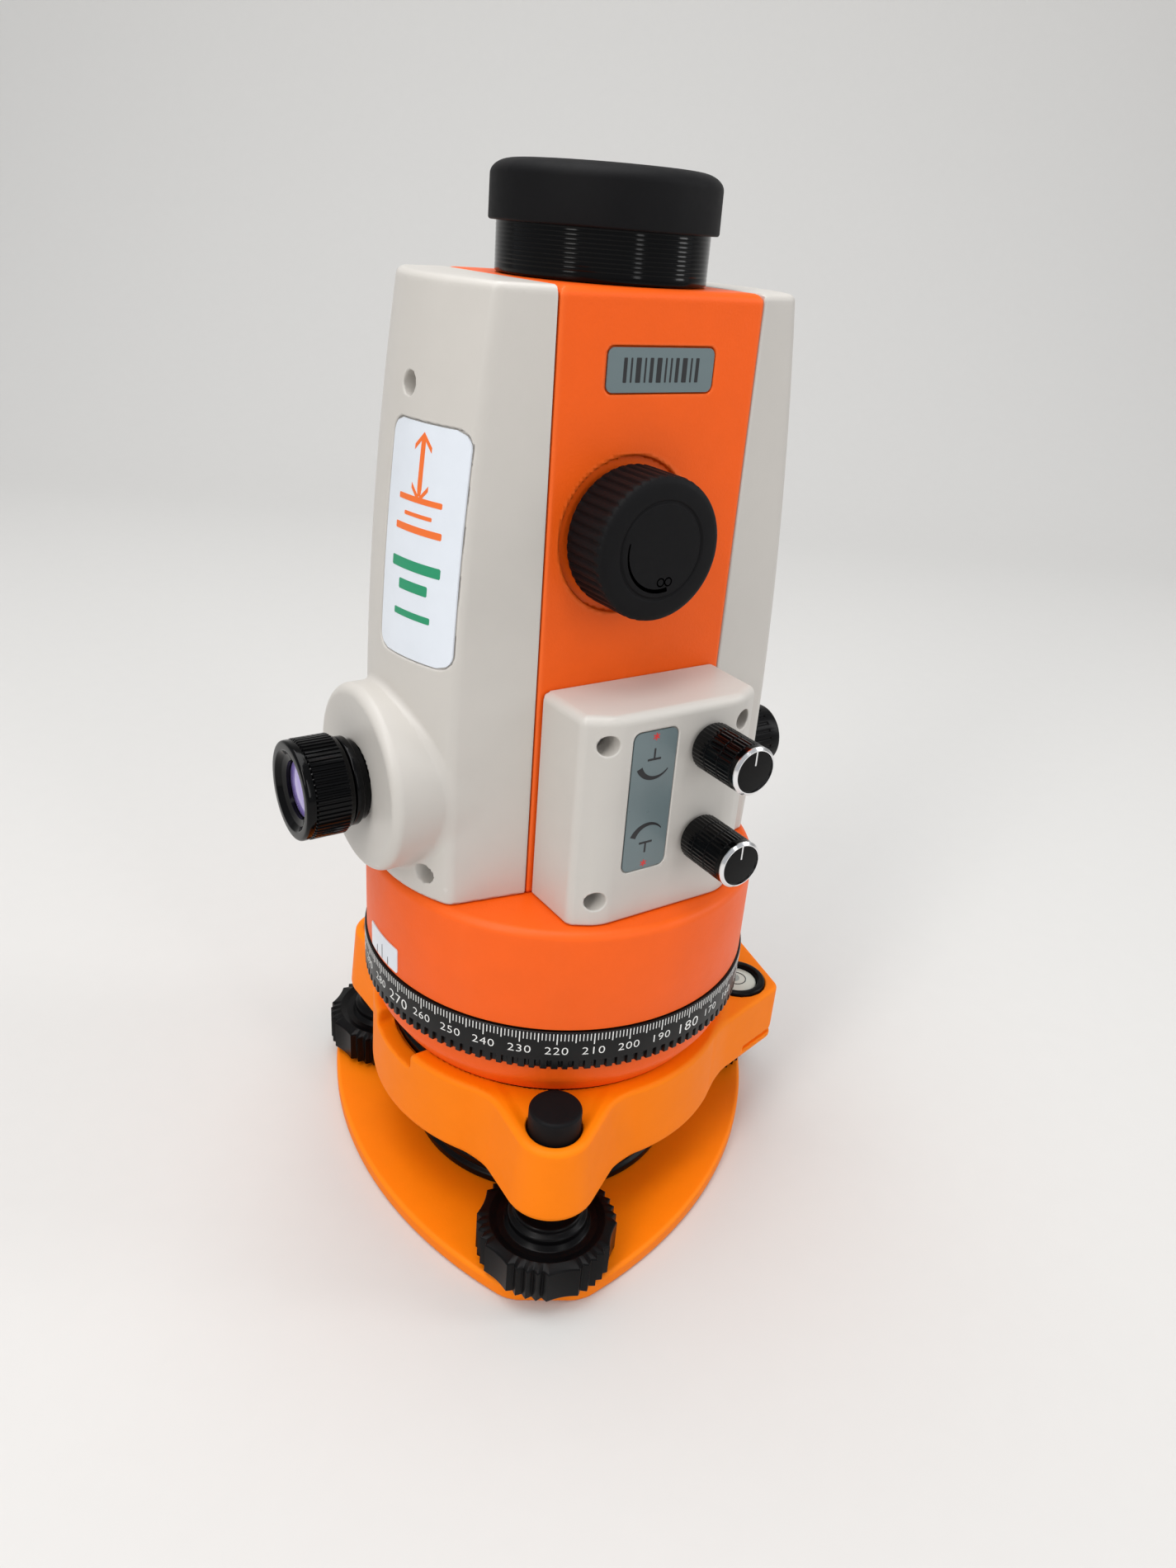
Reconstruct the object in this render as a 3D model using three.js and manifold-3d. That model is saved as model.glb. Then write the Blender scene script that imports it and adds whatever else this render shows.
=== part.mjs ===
// Zenith and nadir laser plummet on a three-screw tribrach.
// Millimetres, +Z up. While it is built, Z is the instrument's vertical axis and z = 0 is the
// underside of the base plate; at the end the model is moved to stand centred on the origin.
import * as THREE from 'three';
import { mergeVertices } from 'three/addons/utils/BufferGeometryUtils.js';
import Module from 'manifold-3d';

const wasm = await Module();
wasm.setup();

// ---------- driving dimensions ----------
const GAP = 0.3;                      // between pieces that touch or turn
const ROUND = 36;                     // segments of a large circle
const SMALL_ROUND = 16;               // segments of a small circle

const BASE = { thickness: 5, cornerRadius: 75, cornerFlat: 20, edgeRadius: 60.5, threadRadius: 7.9 };
const SCREW_CIRCLE = 61;              // footscrews about the vertical axis
const SCREW_ANGLES = [-120, 0, 120];
const SCREW = {
  knobRadius: 19.4, knobHeight: 11.5, lobes: 8, lobeDepth: 1.6,
  collarRadius: 11, collarHeight: 4.5, spindleRadius: 4, ballRadius: 4.6, socketDepth: 3,
};
const CAP = { radius: 7.2, topZ: 56.3, length: 15.5 };
const SPRING_PLATE = { clearance: 0.8, height: 7.5, neckInset: 5, neckTopZ: 21, bore: 20 };
const TRIBRACH = { bottomZ: 27, topZ: 51.3, armTopZ: 50.4, radius: 54.2, bore: 24, armEnd: 12, armRoot: 27 };
const CLAMP = { innerRadius: 44.3, wall: 3.7, bottomZ: 45.5 };
const STUD = { radius: 5, circle: 36, length: 10, angles: [60, 180, 300] };
const BUBBLE = { angle: -24.7, circle: 59.8, radius: 9.2, topZ: 51.5, height: 8, proud: 1 };
const LOBE = { bottomZ: 31, corners: [[20, -20], [42, -40], [64.7, -33.4], [71.5, -3], [30, 0]] };
const NOTCH = { yMin: -12, yMax: 10 };   // where the clamp ring shows
const LOCK = { angle: 60, radius: 9, length: 13, z: 38 };

const FLANGE = { radius: 53.2, footRadius: 49, height: 12.4, spigotRadius: 45.6, bore: 12 };
const RING = { radius: 56, height: 12, segments: 60 };
const DRUM = { radius: 55.4, height: 29.5, wall: 3, edge: 2, hubWall: 4 };
const AXIS = { radius: 14, bore: 8.6 };

const HOUSING = { halfWidth: 27.3, halfDepth: 27.2, height: 144.8, wall: 3 };
const EYEPIECE = {
  tubeRadius: 9, flangeRadius: 11.4, flange: 4, ringRadius: 12.6, ringLength: 12.4, lensRadius: 7.4,
};
const BATTERY = { bossRadius: 13.5, bossX: 56, capRadius: 9.3, capLength: 16.8, packRadius: 7.8, rise: 16.6 };

const BOX = {
  frontY: 48.7, flatHalf: 18.9, half: 25.9, backHalf: 27.3, facetY: 44.8, height: 56.1, wall: 2.5, screwX: 20,
};
const BOX_SCREW = { radius: 2.6, inset: 7, depth: 9, bossRadius: 4.4 };

// ---------- heights that follow ----------
const KNOB_Z = BASE.thickness + 1;
const COLLAR_Z = KNOB_Z + SCREW.knobHeight;
const FLANGE_Z = TRIBRACH.topZ + GAP;
const RING_Z = FLANGE_Z + FLANGE.height + GAP;
const RING_TOP = RING_Z + RING.height;
const DRUM_Z = RING_TOP + GAP;
const DRUM_TOP = DRUM_Z + DRUM.height;
const HOUSING_Z = DRUM_TOP + GAP;
const HOUSING_TOP = HOUSING_Z + HOUSING.height;

// ---------- what stands on the drum and the housing ----------
const COVER = {
  widest: 48.4, widestZ: HOUSING_Z + 28.6, topHalf: 39.8, cornerY: 23.8, bulge: 7.1, wall: 2.5, levels: 4,
  arcSteps: 6,
};
const COVER_SCREW = {
  radius: 2.6, depth: 7, upperY: -3, upperZ: HOUSING_TOP - 22.2, lowerY: 16.8, lowerZ: HOUSING_Z + 6.8,
};
const LABEL = { thickness: 0.4, recess: 0.8, yMin: -23, yMax: 2, zMin: HOUSING_TOP - 82.7, zMax: HOUSING_TOP - 29.2 };
const EYE_BOSS = { radius: 24, faceX: 62.5, edge: 2.5, z: HOUSING_Z + 28.1 };
const BATTERY_Z = HOUSING_Z + BATTERY.rise;
const SYMBOLS = { xMin: -13.8, xMax: -0.6, zMin: HOUSING_Z + 13.6, zMax: HOUSING_Z + 51.5 };
const DIAL = { x: 9.2, radius: 6.2, length: 16.6, zenithZ: HOUSING_Z + 44.8, nadirZ: HOUSING_Z + 19.6, shaftRadius: 3 };
const SERIAL = { halfWidth: 14.8, zMin: HOUSING_TOP - 21.4, zMax: HOUSING_TOP - 11.4 };
const FOCUS = { x: -5.6, z: HOUSING_TOP - 53, radius: 16.8, length: 13.5, margin: 1.5, shaftRadius: 4 };
const BARREL = { radius: 24.6, topZ: HOUSING_TOP + 21.4, bore: 19, tubeRadius: 21, tubeBottomZ: HOUSING_TOP - 75.2 };
const RUBBER = { wall: 1.5, skirt: 10.6, thickness: 2.1 };
const STICKER = { half: 8.3, zMin: DRUM_Z + 1.3, zMax: DRUM_Z + 8.9, thickness: 0.25 };

// ---------- geometry helpers ----------
const radians = THREE.MathUtils.degToRad;

function polar(radius, degrees) {
  return new THREE.Vector2(radius * Math.cos(radians(degrees)), radius * Math.sin(radians(degrees)));
}

function toSolid(geometry) {
  const bare = geometry.clone();
  bare.deleteAttribute('normal');
  bare.deleteAttribute('uv');
  const merged = mergeVertices(bare, 1e-4);
  const index = merged.index.array;
  const triangles = [];
  for (let i = 0; i < index.length; i += 3) {
    const [a, b, c] = [index[i], index[i + 1], index[i + 2]];
    if (a !== b && b !== c && c !== a) {
      triangles.push(a, b, c);
    }
  }
  const mesh = new wasm.Mesh({
    numProp: 3,
    vertProperties: new Float32Array(merged.attributes.position.array),
    triVerts: new Uint32Array(triangles),
  });
  return new wasm.Manifold(mesh);
}

function toGeometry(solid) {
  const mesh = solid.getMesh();
  const geometry = new THREE.BufferGeometry();
  geometry.setAttribute('position', new THREE.BufferAttribute(new Float32Array(mesh.vertProperties), 3));
  geometry.setIndex(new THREE.BufferAttribute(new Uint32Array(mesh.triVerts), 1));
  geometry.computeVertexNormals();
  return geometry;
}

function join(...geometries) {
  const solids = geometries.map(toSolid);
  return toGeometry(solids.reduce((whole, piece) => whole.add(piece)));
}

function cut(geometry, ...tools) {
  const solids = tools.map(toSolid);
  return toGeometry(solids.reduce((whole, tool) => whole.subtract(tool), toSolid(geometry)));
}

function common(geometry, other) {
  return toGeometry(toSolid(geometry).intersect(toSolid(other)));
}

// A turned piece about Z from [radius, z] points, listed from the bottom of the axis to its top.
function turned(points, segments = ROUND) {
  const profile = points.map(([radius, z]) => new THREE.Vector2(radius, z));
  return new THREE.LatheGeometry(profile, segments).rotateX(Math.PI / 2);
}

function rod(radius, z0, z1, segments = SMALL_ROUND) {
  return turned([[0, z0], [radius, z0], [radius, z1], [0, z1]], segments);
}

function tube(inner, outer, z0, z1, segments = ROUND) {
  return turned([[inner, z0], [outer, z0], [outer, z1], [inner, z1], [inner, z0]], segments);
}

function block(x0, x1, y0, y1, z0, z1) {
  const geometry = new THREE.BoxGeometry(x1 - x0, y1 - y0, z1 - z0);
  return geometry.translate((x0 + x1) / 2, (y0 + y1) / 2, (z0 + z1) / 2);
}

function upright(shape, z0, z1) {
  const geometry = new THREE.ExtrudeGeometry(shape, { depth: z1 - z0, bevelEnabled: false, curveSegments: 6 });
  return geometry.translate(0, 0, z0);
}

// The Z axis of a turned piece laid along -Y, -X or +X.
const forward = (geometry) => geometry.rotateX(Math.PI / 2);
const leftward = (geometry) => geometry.rotateY(-Math.PI / 2);
const rightward = (geometry) => geometry.rotateY(Math.PI / 2);

function roundedRectangle(x0, x1, y0, y1, radius) {
  const shape = new THREE.Shape();
  shape.absarc(x1 - radius, y0 + radius, radius, -Math.PI / 2, 0);
  shape.absarc(x1 - radius, y1 - radius, radius, 0, Math.PI / 2);
  shape.absarc(x0 + radius, y1 - radius, radius, Math.PI / 2, Math.PI);
  shape.absarc(x0 + radius, y0 + radius, radius, Math.PI, 1.5 * Math.PI);
  return shape;
}

// An x-z outline standing on the plane y = -back and reaching forward by depth.
function frontPlate(shape, back, depth) {
  const geometry = new THREE.ExtrudeGeometry(shape, { depth, bevelEnabled: false, curveSegments: 4 });
  return geometry.rotateX(Math.PI / 2).translate(0, -back, 0);
}

// A closed solid through stacked outlines with equal numbers of points.
function loft(levels) {
  const count = levels[0].outline.length;
  const positions = [];
  for (const { outline, z } of levels) {
    for (const point of outline) {
      positions.push(point.x, point.y, z);
    }
  }
  const indices = [];
  for (let level = 0; level + 1 < levels.length; level += 1) {
    for (let i = 0; i < count; i += 1) {
      const a = level * count + i;
      const b = level * count + (i + 1) % count;
      indices.push(a, b, b + count, a, b + count, a + count);
    }
  }
  const top = (levels.length - 1) * count;
  for (const [a, b, c] of THREE.ShapeUtils.triangulateShape(levels[0].outline, [])) {
    indices.push(c, b, a, top + a, top + b, top + c);
  }
  const geometry = new THREE.BufferGeometry();
  geometry.setAttribute('position', new THREE.Float32BufferAttribute(positions, 3));
  geometry.setIndex(indices);
  return geometry;
}

// Points on the circle through three points, without the last one.
function arcPoints(start, middle, end, steps) {
  const d = 2 * (start.x * (middle.y - end.y) + middle.x * (end.y - start.y) + end.x * (start.y - middle.y));
  const [s, m, e] = [start.lengthSq(), middle.lengthSq(), end.lengthSq()];
  const centre = new THREE.Vector2(
    (s * (middle.y - end.y) + m * (end.y - start.y) + e * (start.y - middle.y)) / d,
    (s * (end.x - middle.x) + m * (start.x - end.x) + e * (middle.x - start.x)) / d,
  );
  const radius = centre.distanceTo(start);
  const first = start.clone().sub(centre).angle();
  let sweep = end.clone().sub(centre).angle() - first;
  sweep -= 2 * Math.PI * Math.round(sweep / (2 * Math.PI));
  const points = [];
  for (let i = 0; i < steps; i += 1) {
    const angle = first + sweep * i / steps;
    points.push(new THREE.Vector2(centre.x + radius * Math.cos(angle), centre.y + radius * Math.sin(angle)));
  }
  return points;
}

// ---------- materials and assembly ----------
function paint(color, roughness, metalness = 0) {
  return new THREE.MeshStandardMaterial({ color, roughness, metalness });
}

const bodyOrange = paint(0xfa5f14, 0.5);
const tribrachOrange = paint(0xf57d00, 0.5);
const warmGrey = paint(0xc8c5be, 0.45);
const blackPlastic = paint(0x101010, 0.4);
const blackMetal = paint(0x0c0c0c, 0.3, 0.6);
const blackRubber = paint(0x1c1c1e, 0.8);
const steel = paint(0xb8b8bc, 0.3, 1);
const brass = paint(0xc9a24a, 0.35, 1);
const glass = paint(0xc8d4dc, 0.05);
const labelGrey = paint(0x647376, 0.4);
const labelWhite = paint(0xe6eaf0, 0.3);

const model = new THREE.Group();

function add(name, geometry, material) {
  const mesh = new THREE.Mesh(geometry, material);
  mesh.name = name;
  model.add(mesh);
}

// ---------- tribrach ----------
function baseOutline() {
  const halfFlat = THREE.MathUtils.radToDeg(Math.atan(BASE.cornerFlat / 2 / BASE.cornerRadius));
  const tip = Math.hypot(BASE.cornerRadius, BASE.cornerFlat / 2);
  const points = [];
  for (const angle of SCREW_ANGLES) {
    const start = polar(tip, angle + halfFlat);
    const end = polar(tip, angle + 120 - halfFlat);
    points.push(...arcPoints(start, polar(BASE.edgeRadius, angle + 60), end, 10), end);
  }
  return new THREE.Shape(points);
}

function basePlate() {
  const tools = [rod(BASE.threadRadius, -1, BASE.thickness + 1)];
  for (const angle of SCREW_ANGLES) {
    const place = polar(SCREW_CIRCLE, angle);
    const socket = rod(SCREW.ballRadius + GAP, BASE.thickness - SCREW.socketDepth, BASE.thickness + 1);
    tools.push(socket.translate(place.x, place.y, 0));
  }
  return cut(upright(baseOutline(), 0, BASE.thickness), ...tools);
}

function springPlate() {
  const bottom = BASE.thickness + GAP;
  const shoulder = bottom + SPRING_PLATE.height;
  const rim = SCREW_CIRCLE - SCREW.knobRadius - SPRING_PLATE.clearance;
  const neck = rim - SPRING_PLATE.neckInset;
  return turned([
    [SPRING_PLATE.bore, bottom], [rim, bottom], [rim, shoulder], [neck, shoulder],
    [neck, SPRING_PLATE.neckTopZ], [SPRING_PLATE.bore, SPRING_PLATE.neckTopZ], [SPRING_PLATE.bore, bottom],
  ], ROUND);
}

function knobOutline() {
  const points = [];
  const steps = SCREW.lobes * 6;
  for (let i = 0; i < steps; i += 1) {
    const dip = Math.max(0, Math.cos(SCREW.lobes * 2 * Math.PI * i / steps));
    points.push(polar(SCREW.knobRadius - SCREW.lobeDepth * dip, 360 * i / steps));
  }
  return new THREE.Shape(points);
}

function addFootscrew(angle, number) {
  const place = polar(SCREW_CIRCLE, angle);
  const move = (geometry) => geometry.translate(place.x, place.y, 0);
  const collarTop = COLLAR_Z + SCREW.collarHeight;
  const socketZ = BASE.thickness - SCREW.socketDepth + GAP;
  const capZ = CAP.topZ - CAP.length;
  const knob = cut(
    join(upright(knobOutline(), KNOB_Z, COLLAR_Z), rod(SCREW.collarRadius, COLLAR_Z - 1, collarTop, 20)),
    rod(SCREW.spindleRadius + GAP, KNOB_Z - 1, collarTop + 1),
  );
  const spindle = turned([
    [0, socketZ], [SCREW.ballRadius, socketZ], [SCREW.ballRadius, BASE.thickness + 0.4],
    [SCREW.spindleRadius, BASE.thickness + 0.4], [SCREW.spindleRadius, capZ - 4.5], [0, capZ - 4.5],
  ], SMALL_ROUND);
  const cap = turned([
    [0, capZ], [CAP.radius, capZ], [CAP.radius, CAP.topZ - 1], [CAP.radius - 1, CAP.topZ], [0, CAP.topZ],
  ], 20);
  add(`footscrew_knob_${number}`, move(knob), blackPlastic);
  add(`footscrew_spindle_${number}`, move(spindle), steel);
  add(`footscrew_cap_${number}`, move(cap), blackPlastic);
}

function armOutline(angle) {
  const along = polar(1, angle);
  const across = polar(1, angle + 90);
  const at = (u, v) => along.clone().multiplyScalar(u).addScaledVector(across, v);
  const tip = SCREW_CIRCLE + TRIBRACH.armEnd;
  const start = at(SCREW_CIRCLE + 2, TRIBRACH.armEnd);
  const end = at(SCREW_CIRCLE + 2, -TRIBRACH.armEnd);
  return new THREE.Shape([
    at(20, -TRIBRACH.armRoot), ...arcPoints(end, at(tip, 0), start, 8), start, at(20, TRIBRACH.armRoot),
  ]);
}

function tribrachBody() {
  const { bottomZ, topZ, armTopZ } = TRIBRACH;
  const bubble = polar(BUBBLE.circle, BUBBLE.angle);
  const lobe = new THREE.Shape(LOBE.corners.map(([x, y]) => new THREE.Vector2(x, y)));
  const pieces = [
    rod(TRIBRACH.radius, bottomZ, topZ, ROUND),
    upright(lobe, LOBE.bottomZ, BUBBLE.topZ - BUBBLE.proud),
  ];
  const tools = [
    rod(TRIBRACH.bore, bottomZ - 1, topZ + 1, 24),
    tube(CLAMP.innerRadius - GAP, CLAMP.innerRadius + CLAMP.wall + GAP, CLAMP.bottomZ - GAP, topZ + 1),
    rod(BUBBLE.radius + GAP, BUBBLE.topZ - BUBBLE.height - GAP, topZ).translate(bubble.x, bubble.y, 0),
    block(-60, GAP - CLAMP.innerRadius - CLAMP.wall, NOTCH.yMin, NOTCH.yMax, CLAMP.bottomZ + 1, topZ + 1),
  ];
  for (const angle of SCREW_ANGLES) {
    const place = polar(SCREW_CIRCLE, angle);
    pieces.push(upright(armOutline(angle), bottomZ, armTopZ));
    const capBore = rod(CAP.radius + GAP, CAP.topZ - CAP.length - GAP, topZ + 1, 20);
    const screwBore = rod(SCREW.spindleRadius + GAP, bottomZ - 1, CAP.topZ - CAP.length);
    tools.push(capBore.translate(place.x, place.y, 0), screwBore.translate(place.x, place.y, 0));
  }
  for (const angle of STUD.angles) {
    const place = polar(STUD.circle, angle);
    const hole = rod(STUD.radius + GAP, topZ - STUD.length - 1, topZ + 1);
    tools.push(hole.translate(place.x, place.y, 0));
  }
  const lockBore = rightward(rod(LOCK.radius / 2, CLAMP.innerRadius + CLAMP.wall + 1, 70));
  tools.push(lockBore.rotateZ(radians(LOCK.angle)).translate(0, 0, LOCK.z));
  return cut(join(...pieces), ...tools);
}

add('base_plate', basePlate(), tribrachOrange);
add('spring_plate', springPlate(), blackPlastic);
SCREW_ANGLES.forEach((angle, index) => addFootscrew(angle, index + 1));
add('tribrach_body', tribrachBody(), tribrachOrange);
add('clamp_ring', tube(CLAMP.innerRadius, CLAMP.innerRadius + CLAMP.wall, CLAMP.bottomZ, TRIBRACH.topZ - GAP),
  blackMetal);

function lockKnob() {
  const face = TRIBRACH.radius + GAP;
  const knob = rightward(turned([
    [0, CLAMP.innerRadius + CLAMP.wall + 1.5], [LOCK.radius / 2 - GAP, CLAMP.innerRadius + CLAMP.wall + 1.5],
    [LOCK.radius / 2 - GAP, face], [LOCK.radius, face], [LOCK.radius, face + LOCK.length],
    [0, face + LOCK.length],
  ], SMALL_ROUND));
  const grip = block(face + LOCK.length - 1, face + LOCK.length + 3, -2, 2, -LOCK.radius, LOCK.radius);
  return join(knob, grip).rotateZ(radians(LOCK.angle)).translate(0, 0, LOCK.z);
}
add('swivel_lock_knob', lockKnob(), blackPlastic);

function addBubble() {
  const place = polar(BUBBLE.circle, BUBBLE.angle);
  const bottom = BUBBLE.topZ - BUBBLE.height;
  const seat = turned([
    [0, bottom], [BUBBLE.radius, bottom], [BUBBLE.radius, BUBBLE.topZ], [BUBBLE.radius - 2.4, BUBBLE.topZ],
    [BUBBLE.radius - 2.4, bottom + 2], [0, bottom + 2],
  ], 20);
  const vial = rod(BUBBLE.radius - 2.4 - GAP, bottom + 2 + GAP, BUBBLE.topZ - 0.6, 20);
  add('circular_level_seat', seat.translate(place.x, place.y, 0), blackPlastic);
  add('circular_level_vial', vial.translate(place.x, place.y, 0), glass);
}
addBubble();

// ---------- instrument foot: flange, studs, graduated ring, vertical axis ----------
function lowerFlange() {
  const top = FLANGE_Z + FLANGE.height;
  const spigotTop = RING_TOP - GAP;
  const inside = AXIS.radius + GAP;
  return turned([
    [FLANGE.bore, FLANGE_Z], [FLANGE.footRadius, FLANGE_Z], [FLANGE.radius, FLANGE_Z + 5],
    [FLANGE.radius, top], [FLANGE.spigotRadius, top], [FLANGE.spigotRadius, spigotTop],
    [FLANGE.spigotRadius - 4, spigotTop], [FLANGE.spigotRadius - 4, top - 3], [inside, top - 3],
    [inside, FLANGE_Z + 3], [FLANGE.bore, FLANGE_Z + 3], [FLANGE.bore, FLANGE_Z],
  ]);
}
const studSocket = STUD.angles.map((angle) => {
  const place = polar(STUD.circle, angle);
  return rod(STUD.radius - 2 + GAP, FLANGE_Z - 1, FLANGE_Z + 3 + GAP).translate(place.x, place.y, 0);
});
add('lower_flange', cut(lowerFlange(), ...studSocket), bodyOrange);

STUD.angles.forEach((angle, index) => {
  const place = polar(STUD.circle, angle);
  const low = TRIBRACH.topZ - STUD.length;
  const stud = turned([
    [0, low], [STUD.radius - 1, low], [STUD.radius, low + 1], [STUD.radius, FLANGE_Z - GAP],
    [STUD.radius - 2, FLANGE_Z - GAP], [STUD.radius - 2, FLANGE_Z + 3], [0, FLANGE_Z + 3],
  ], SMALL_ROUND);
  add(`locking_stud_${index + 1}`, stud.translate(place.x, place.y, 0), steel);
});
add('nadir_window', rod(FLANGE.bore - GAP, FLANGE_Z + 0.5, FLANGE_Z + 2.5, 20), glass);

add('graduated_ring', tube(FLANGE.spigotRadius + GAP, RING.radius, RING_Z, RING_TOP, RING.segments), blackMetal);
add('vertical_axis', tube(AXIS.bore, AXIS.radius, FLANGE_Z + 3 + GAP, DRUM_TOP - DRUM.wall - GAP, 32), steel);

// ---------- alidade: drum and housing ----------
function drum() {
  const { radius, wall, edge, hubWall } = DRUM;
  const hub = AXIS.radius + GAP;
  return turned([
    [0, DRUM_TOP - wall], [hub, DRUM_TOP - wall], [hub, DRUM_Z + 2], [hub + hubWall, DRUM_Z + 2],
    [hub + hubWall, DRUM_TOP - wall], [radius - wall, DRUM_TOP - wall], [radius - wall, DRUM_Z],
    [radius, DRUM_Z], [radius, DRUM_TOP - edge], [radius - 0.3 * edge, DRUM_TOP - 0.3 * edge],
    [radius - edge, DRUM_TOP], [0, DRUM_TOP],
  ]);
}
const laserBore = AXIS.bore - 2 * GAP;
add('drum', cut(drum(), rod(laserBore + GAP, DRUM_TOP - DRUM.wall - 1, DRUM_TOP + 1)), bodyOrange);
add('nadir_laser', rod(laserBore, DRUM_Z - 6, DRUM_TOP - 1), brass);

function frontHole(radius, x, z, from, to) {
  return forward(rod(radius, from, to)).translate(x, 0, z);
}

const BOX_TOP = HOUSING_Z + BOX.height;
const boxScrewPlaces = [
  ['upper_left', -BOX.screwX, BOX_TOP - BOX_SCREW.inset],
  ['upper_right', BOX.screwX, BOX_TOP - BOX_SCREW.inset],
  ['lower_left', -BOX.screwX, HOUSING_Z + BOX_SCREW.inset],
  ['lower_right', BOX.screwX, HOUSING_Z + BOX_SCREW.inset],
];

function mainHousing() {
  const { halfWidth, halfDepth, wall } = HOUSING;
  const outer = block(-halfWidth, halfWidth, -halfDepth, halfDepth, HOUSING_Z, HOUSING_TOP);
  const inner = block(-halfWidth + wall, halfWidth - wall, -halfDepth + wall, halfDepth - wall,
    HOUSING_Z + wall, HOUSING_TOP - wall);
  const tools = [
    inner,
    rod(BARREL.tubeRadius + GAP, HOUSING_TOP - wall - 1, HOUSING_TOP + 1, ROUND),
    leftward(rod(EYEPIECE.tubeRadius + GAP, halfWidth - wall - 1, halfWidth + 1)).translate(0, 0, EYE_BOSS.z),
    frontHole(FOCUS.radius + FOCUS.margin, FOCUS.x, FOCUS.z, halfDepth - 1.2, halfDepth + 1),
    frontHole(FOCUS.shaftRadius + GAP, FOCUS.x, FOCUS.z, halfDepth - wall - 1, halfDepth + 1),
    frontPlate(roundedRectangle(-SERIAL.halfWidth, SERIAL.halfWidth, SERIAL.zMin, SERIAL.zMax, 1.5),
      halfDepth - LABEL.recess, 2),
  ];
  for (const z of [DIAL.zenithZ, DIAL.nadirZ]) {
    tools.push(frontHole(2, DIAL.x, z, halfDepth - wall - 1, halfDepth + 1));
  }
  for (const [, x, z] of boxScrewPlaces) {
    tools.push(frontHole(1.6, x, z, halfDepth - wall - 1, halfDepth + 1));
  }
  return cut(outer, ...tools);
}
add('main_housing', mainHousing(), bodyOrange);
add('serial_plate', frontPlate(
  roundedRectangle(-SERIAL.halfWidth + GAP, SERIAL.halfWidth - GAP, SERIAL.zMin + GAP, SERIAL.zMax - GAP, 1.3),
  HOUSING.halfDepth - LABEL.recess + GAP, LABEL.thickness,
), labelGrey);

// ---------- side covers ----------
function coverHalfWidth(z) {
  const drop = (COVER.widest - COVER.topHalf) / (HOUSING_TOP - COVER.widestZ) ** 2;
  return COVER.widest - drop * (z - COVER.widestZ) ** 2;
}

// The outline of the left cover at one height, moved in by an inset; open pieces start past the seam.
function coverOutline(z, inset, seam) {
  const half = coverHalfWidth(z) - inset;
  const corner = COVER.cornerY - inset;
  const edge = HOUSING.halfDepth - inset;
  const back = new THREE.Vector2(-half, corner);
  const front = new THREE.Vector2(-half, -corner);
  const middle = new THREE.Vector2(-half - COVER.bulge, 0);
  return [
    new THREE.Vector2(-seam, -edge), new THREE.Vector2(-seam, edge),
    ...arcPoints(back, middle, front, COVER.arcSteps), front,
  ];
}

function coverSolid(inset, seam, z0, z1) {
  const levels = [];
  for (let i = 0; i <= COVER.levels; i += 1) {
    const z = THREE.MathUtils.lerp(z0, z1, i / COVER.levels);
    levels.push({ outline: coverOutline(z, inset, seam), z });
  }
  return loft(levels);
}

function coverShell() {
  const seam = HOUSING.halfWidth + GAP;
  const outer = coverSolid(0, seam, HOUSING_Z, HOUSING_TOP);
  const inner = coverSolid(COVER.wall, seam - 1, HOUSING_Z + COVER.wall, HOUSING_TOP - COVER.wall);
  return cut(outer, inner);
}

const coverScrewPlaces = [
  ['upper', COVER_SCREW.upperY, COVER_SCREW.upperZ],
  ['lower_front', -COVER_SCREW.lowerY, COVER_SCREW.lowerZ],
  ['lower_rear', COVER_SCREW.lowerY, COVER_SCREW.lowerZ],
];

function coverFace(y, z) {
  const half = coverHalfWidth(z);
  const radius = (COVER.cornerY ** 2 + COVER.bulge ** 2) / (2 * COVER.bulge);
  return half + COVER.bulge - radius + Math.sqrt(radius ** 2 - y ** 2);
}

function withScrewPockets(shell, place) {
  const posts = [];
  const tools = [];
  for (const [, y, z] of coverScrewPlaces) {
    const floor = coverFace(y, z) - COVER_SCREW.depth;
    posts.push(place(rod(COVER_SCREW.radius + 1.8, HOUSING.halfWidth + GAP, floor + 5)).translate(0, y, z));
    tools.push(place(rod(COVER_SCREW.radius, floor, floor + 20)).translate(0, y, z));
    tools.push(place(rod(1.5 + GAP, HOUSING.halfWidth - 1, floor + 1)).translate(0, y, z));
  }
  return cut(join(shell, ...posts), ...tools);
}

function addCoverScrews(side, place) {
  for (const [name, y, z] of coverScrewPlaces) {
    const floor = coverFace(y, z) - COVER_SCREW.depth + GAP;
    const tip = HOUSING.halfWidth + 2 * GAP;
    const screw = turned([
      [0, tip], [1.5, tip], [1.5, floor], [COVER_SCREW.radius - GAP, floor],
      [COVER_SCREW.radius - GAP, floor + 2], [0, floor + 2],
    ], 8);
    add(`${side}_cover_screw_${name}`, place(screw).translate(0, y, z), steel);
  }
}

function labelWindow(margin) {
  return block(-80, 0, LABEL.yMin + margin, LABEL.yMax - margin, LABEL.zMin + margin, LABEL.zMax - margin);
}

function coverSkin(outside, inside) {
  const seam = HOUSING.halfWidth + 5;
  const outer = coverSolid(outside, seam, HOUSING_Z, HOUSING_TOP);
  return cut(outer, coverSolid(inside, seam - 1, HOUSING_Z - 1, HOUSING_TOP + 1));
}

function boss(radius, from, face, edge) {
  return turned([[0, from], [radius, from], [radius, face - edge], [radius - edge * 0.3, face - edge * 0.3],
    [radius - edge, face], [0, face]], 20);
}

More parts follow.
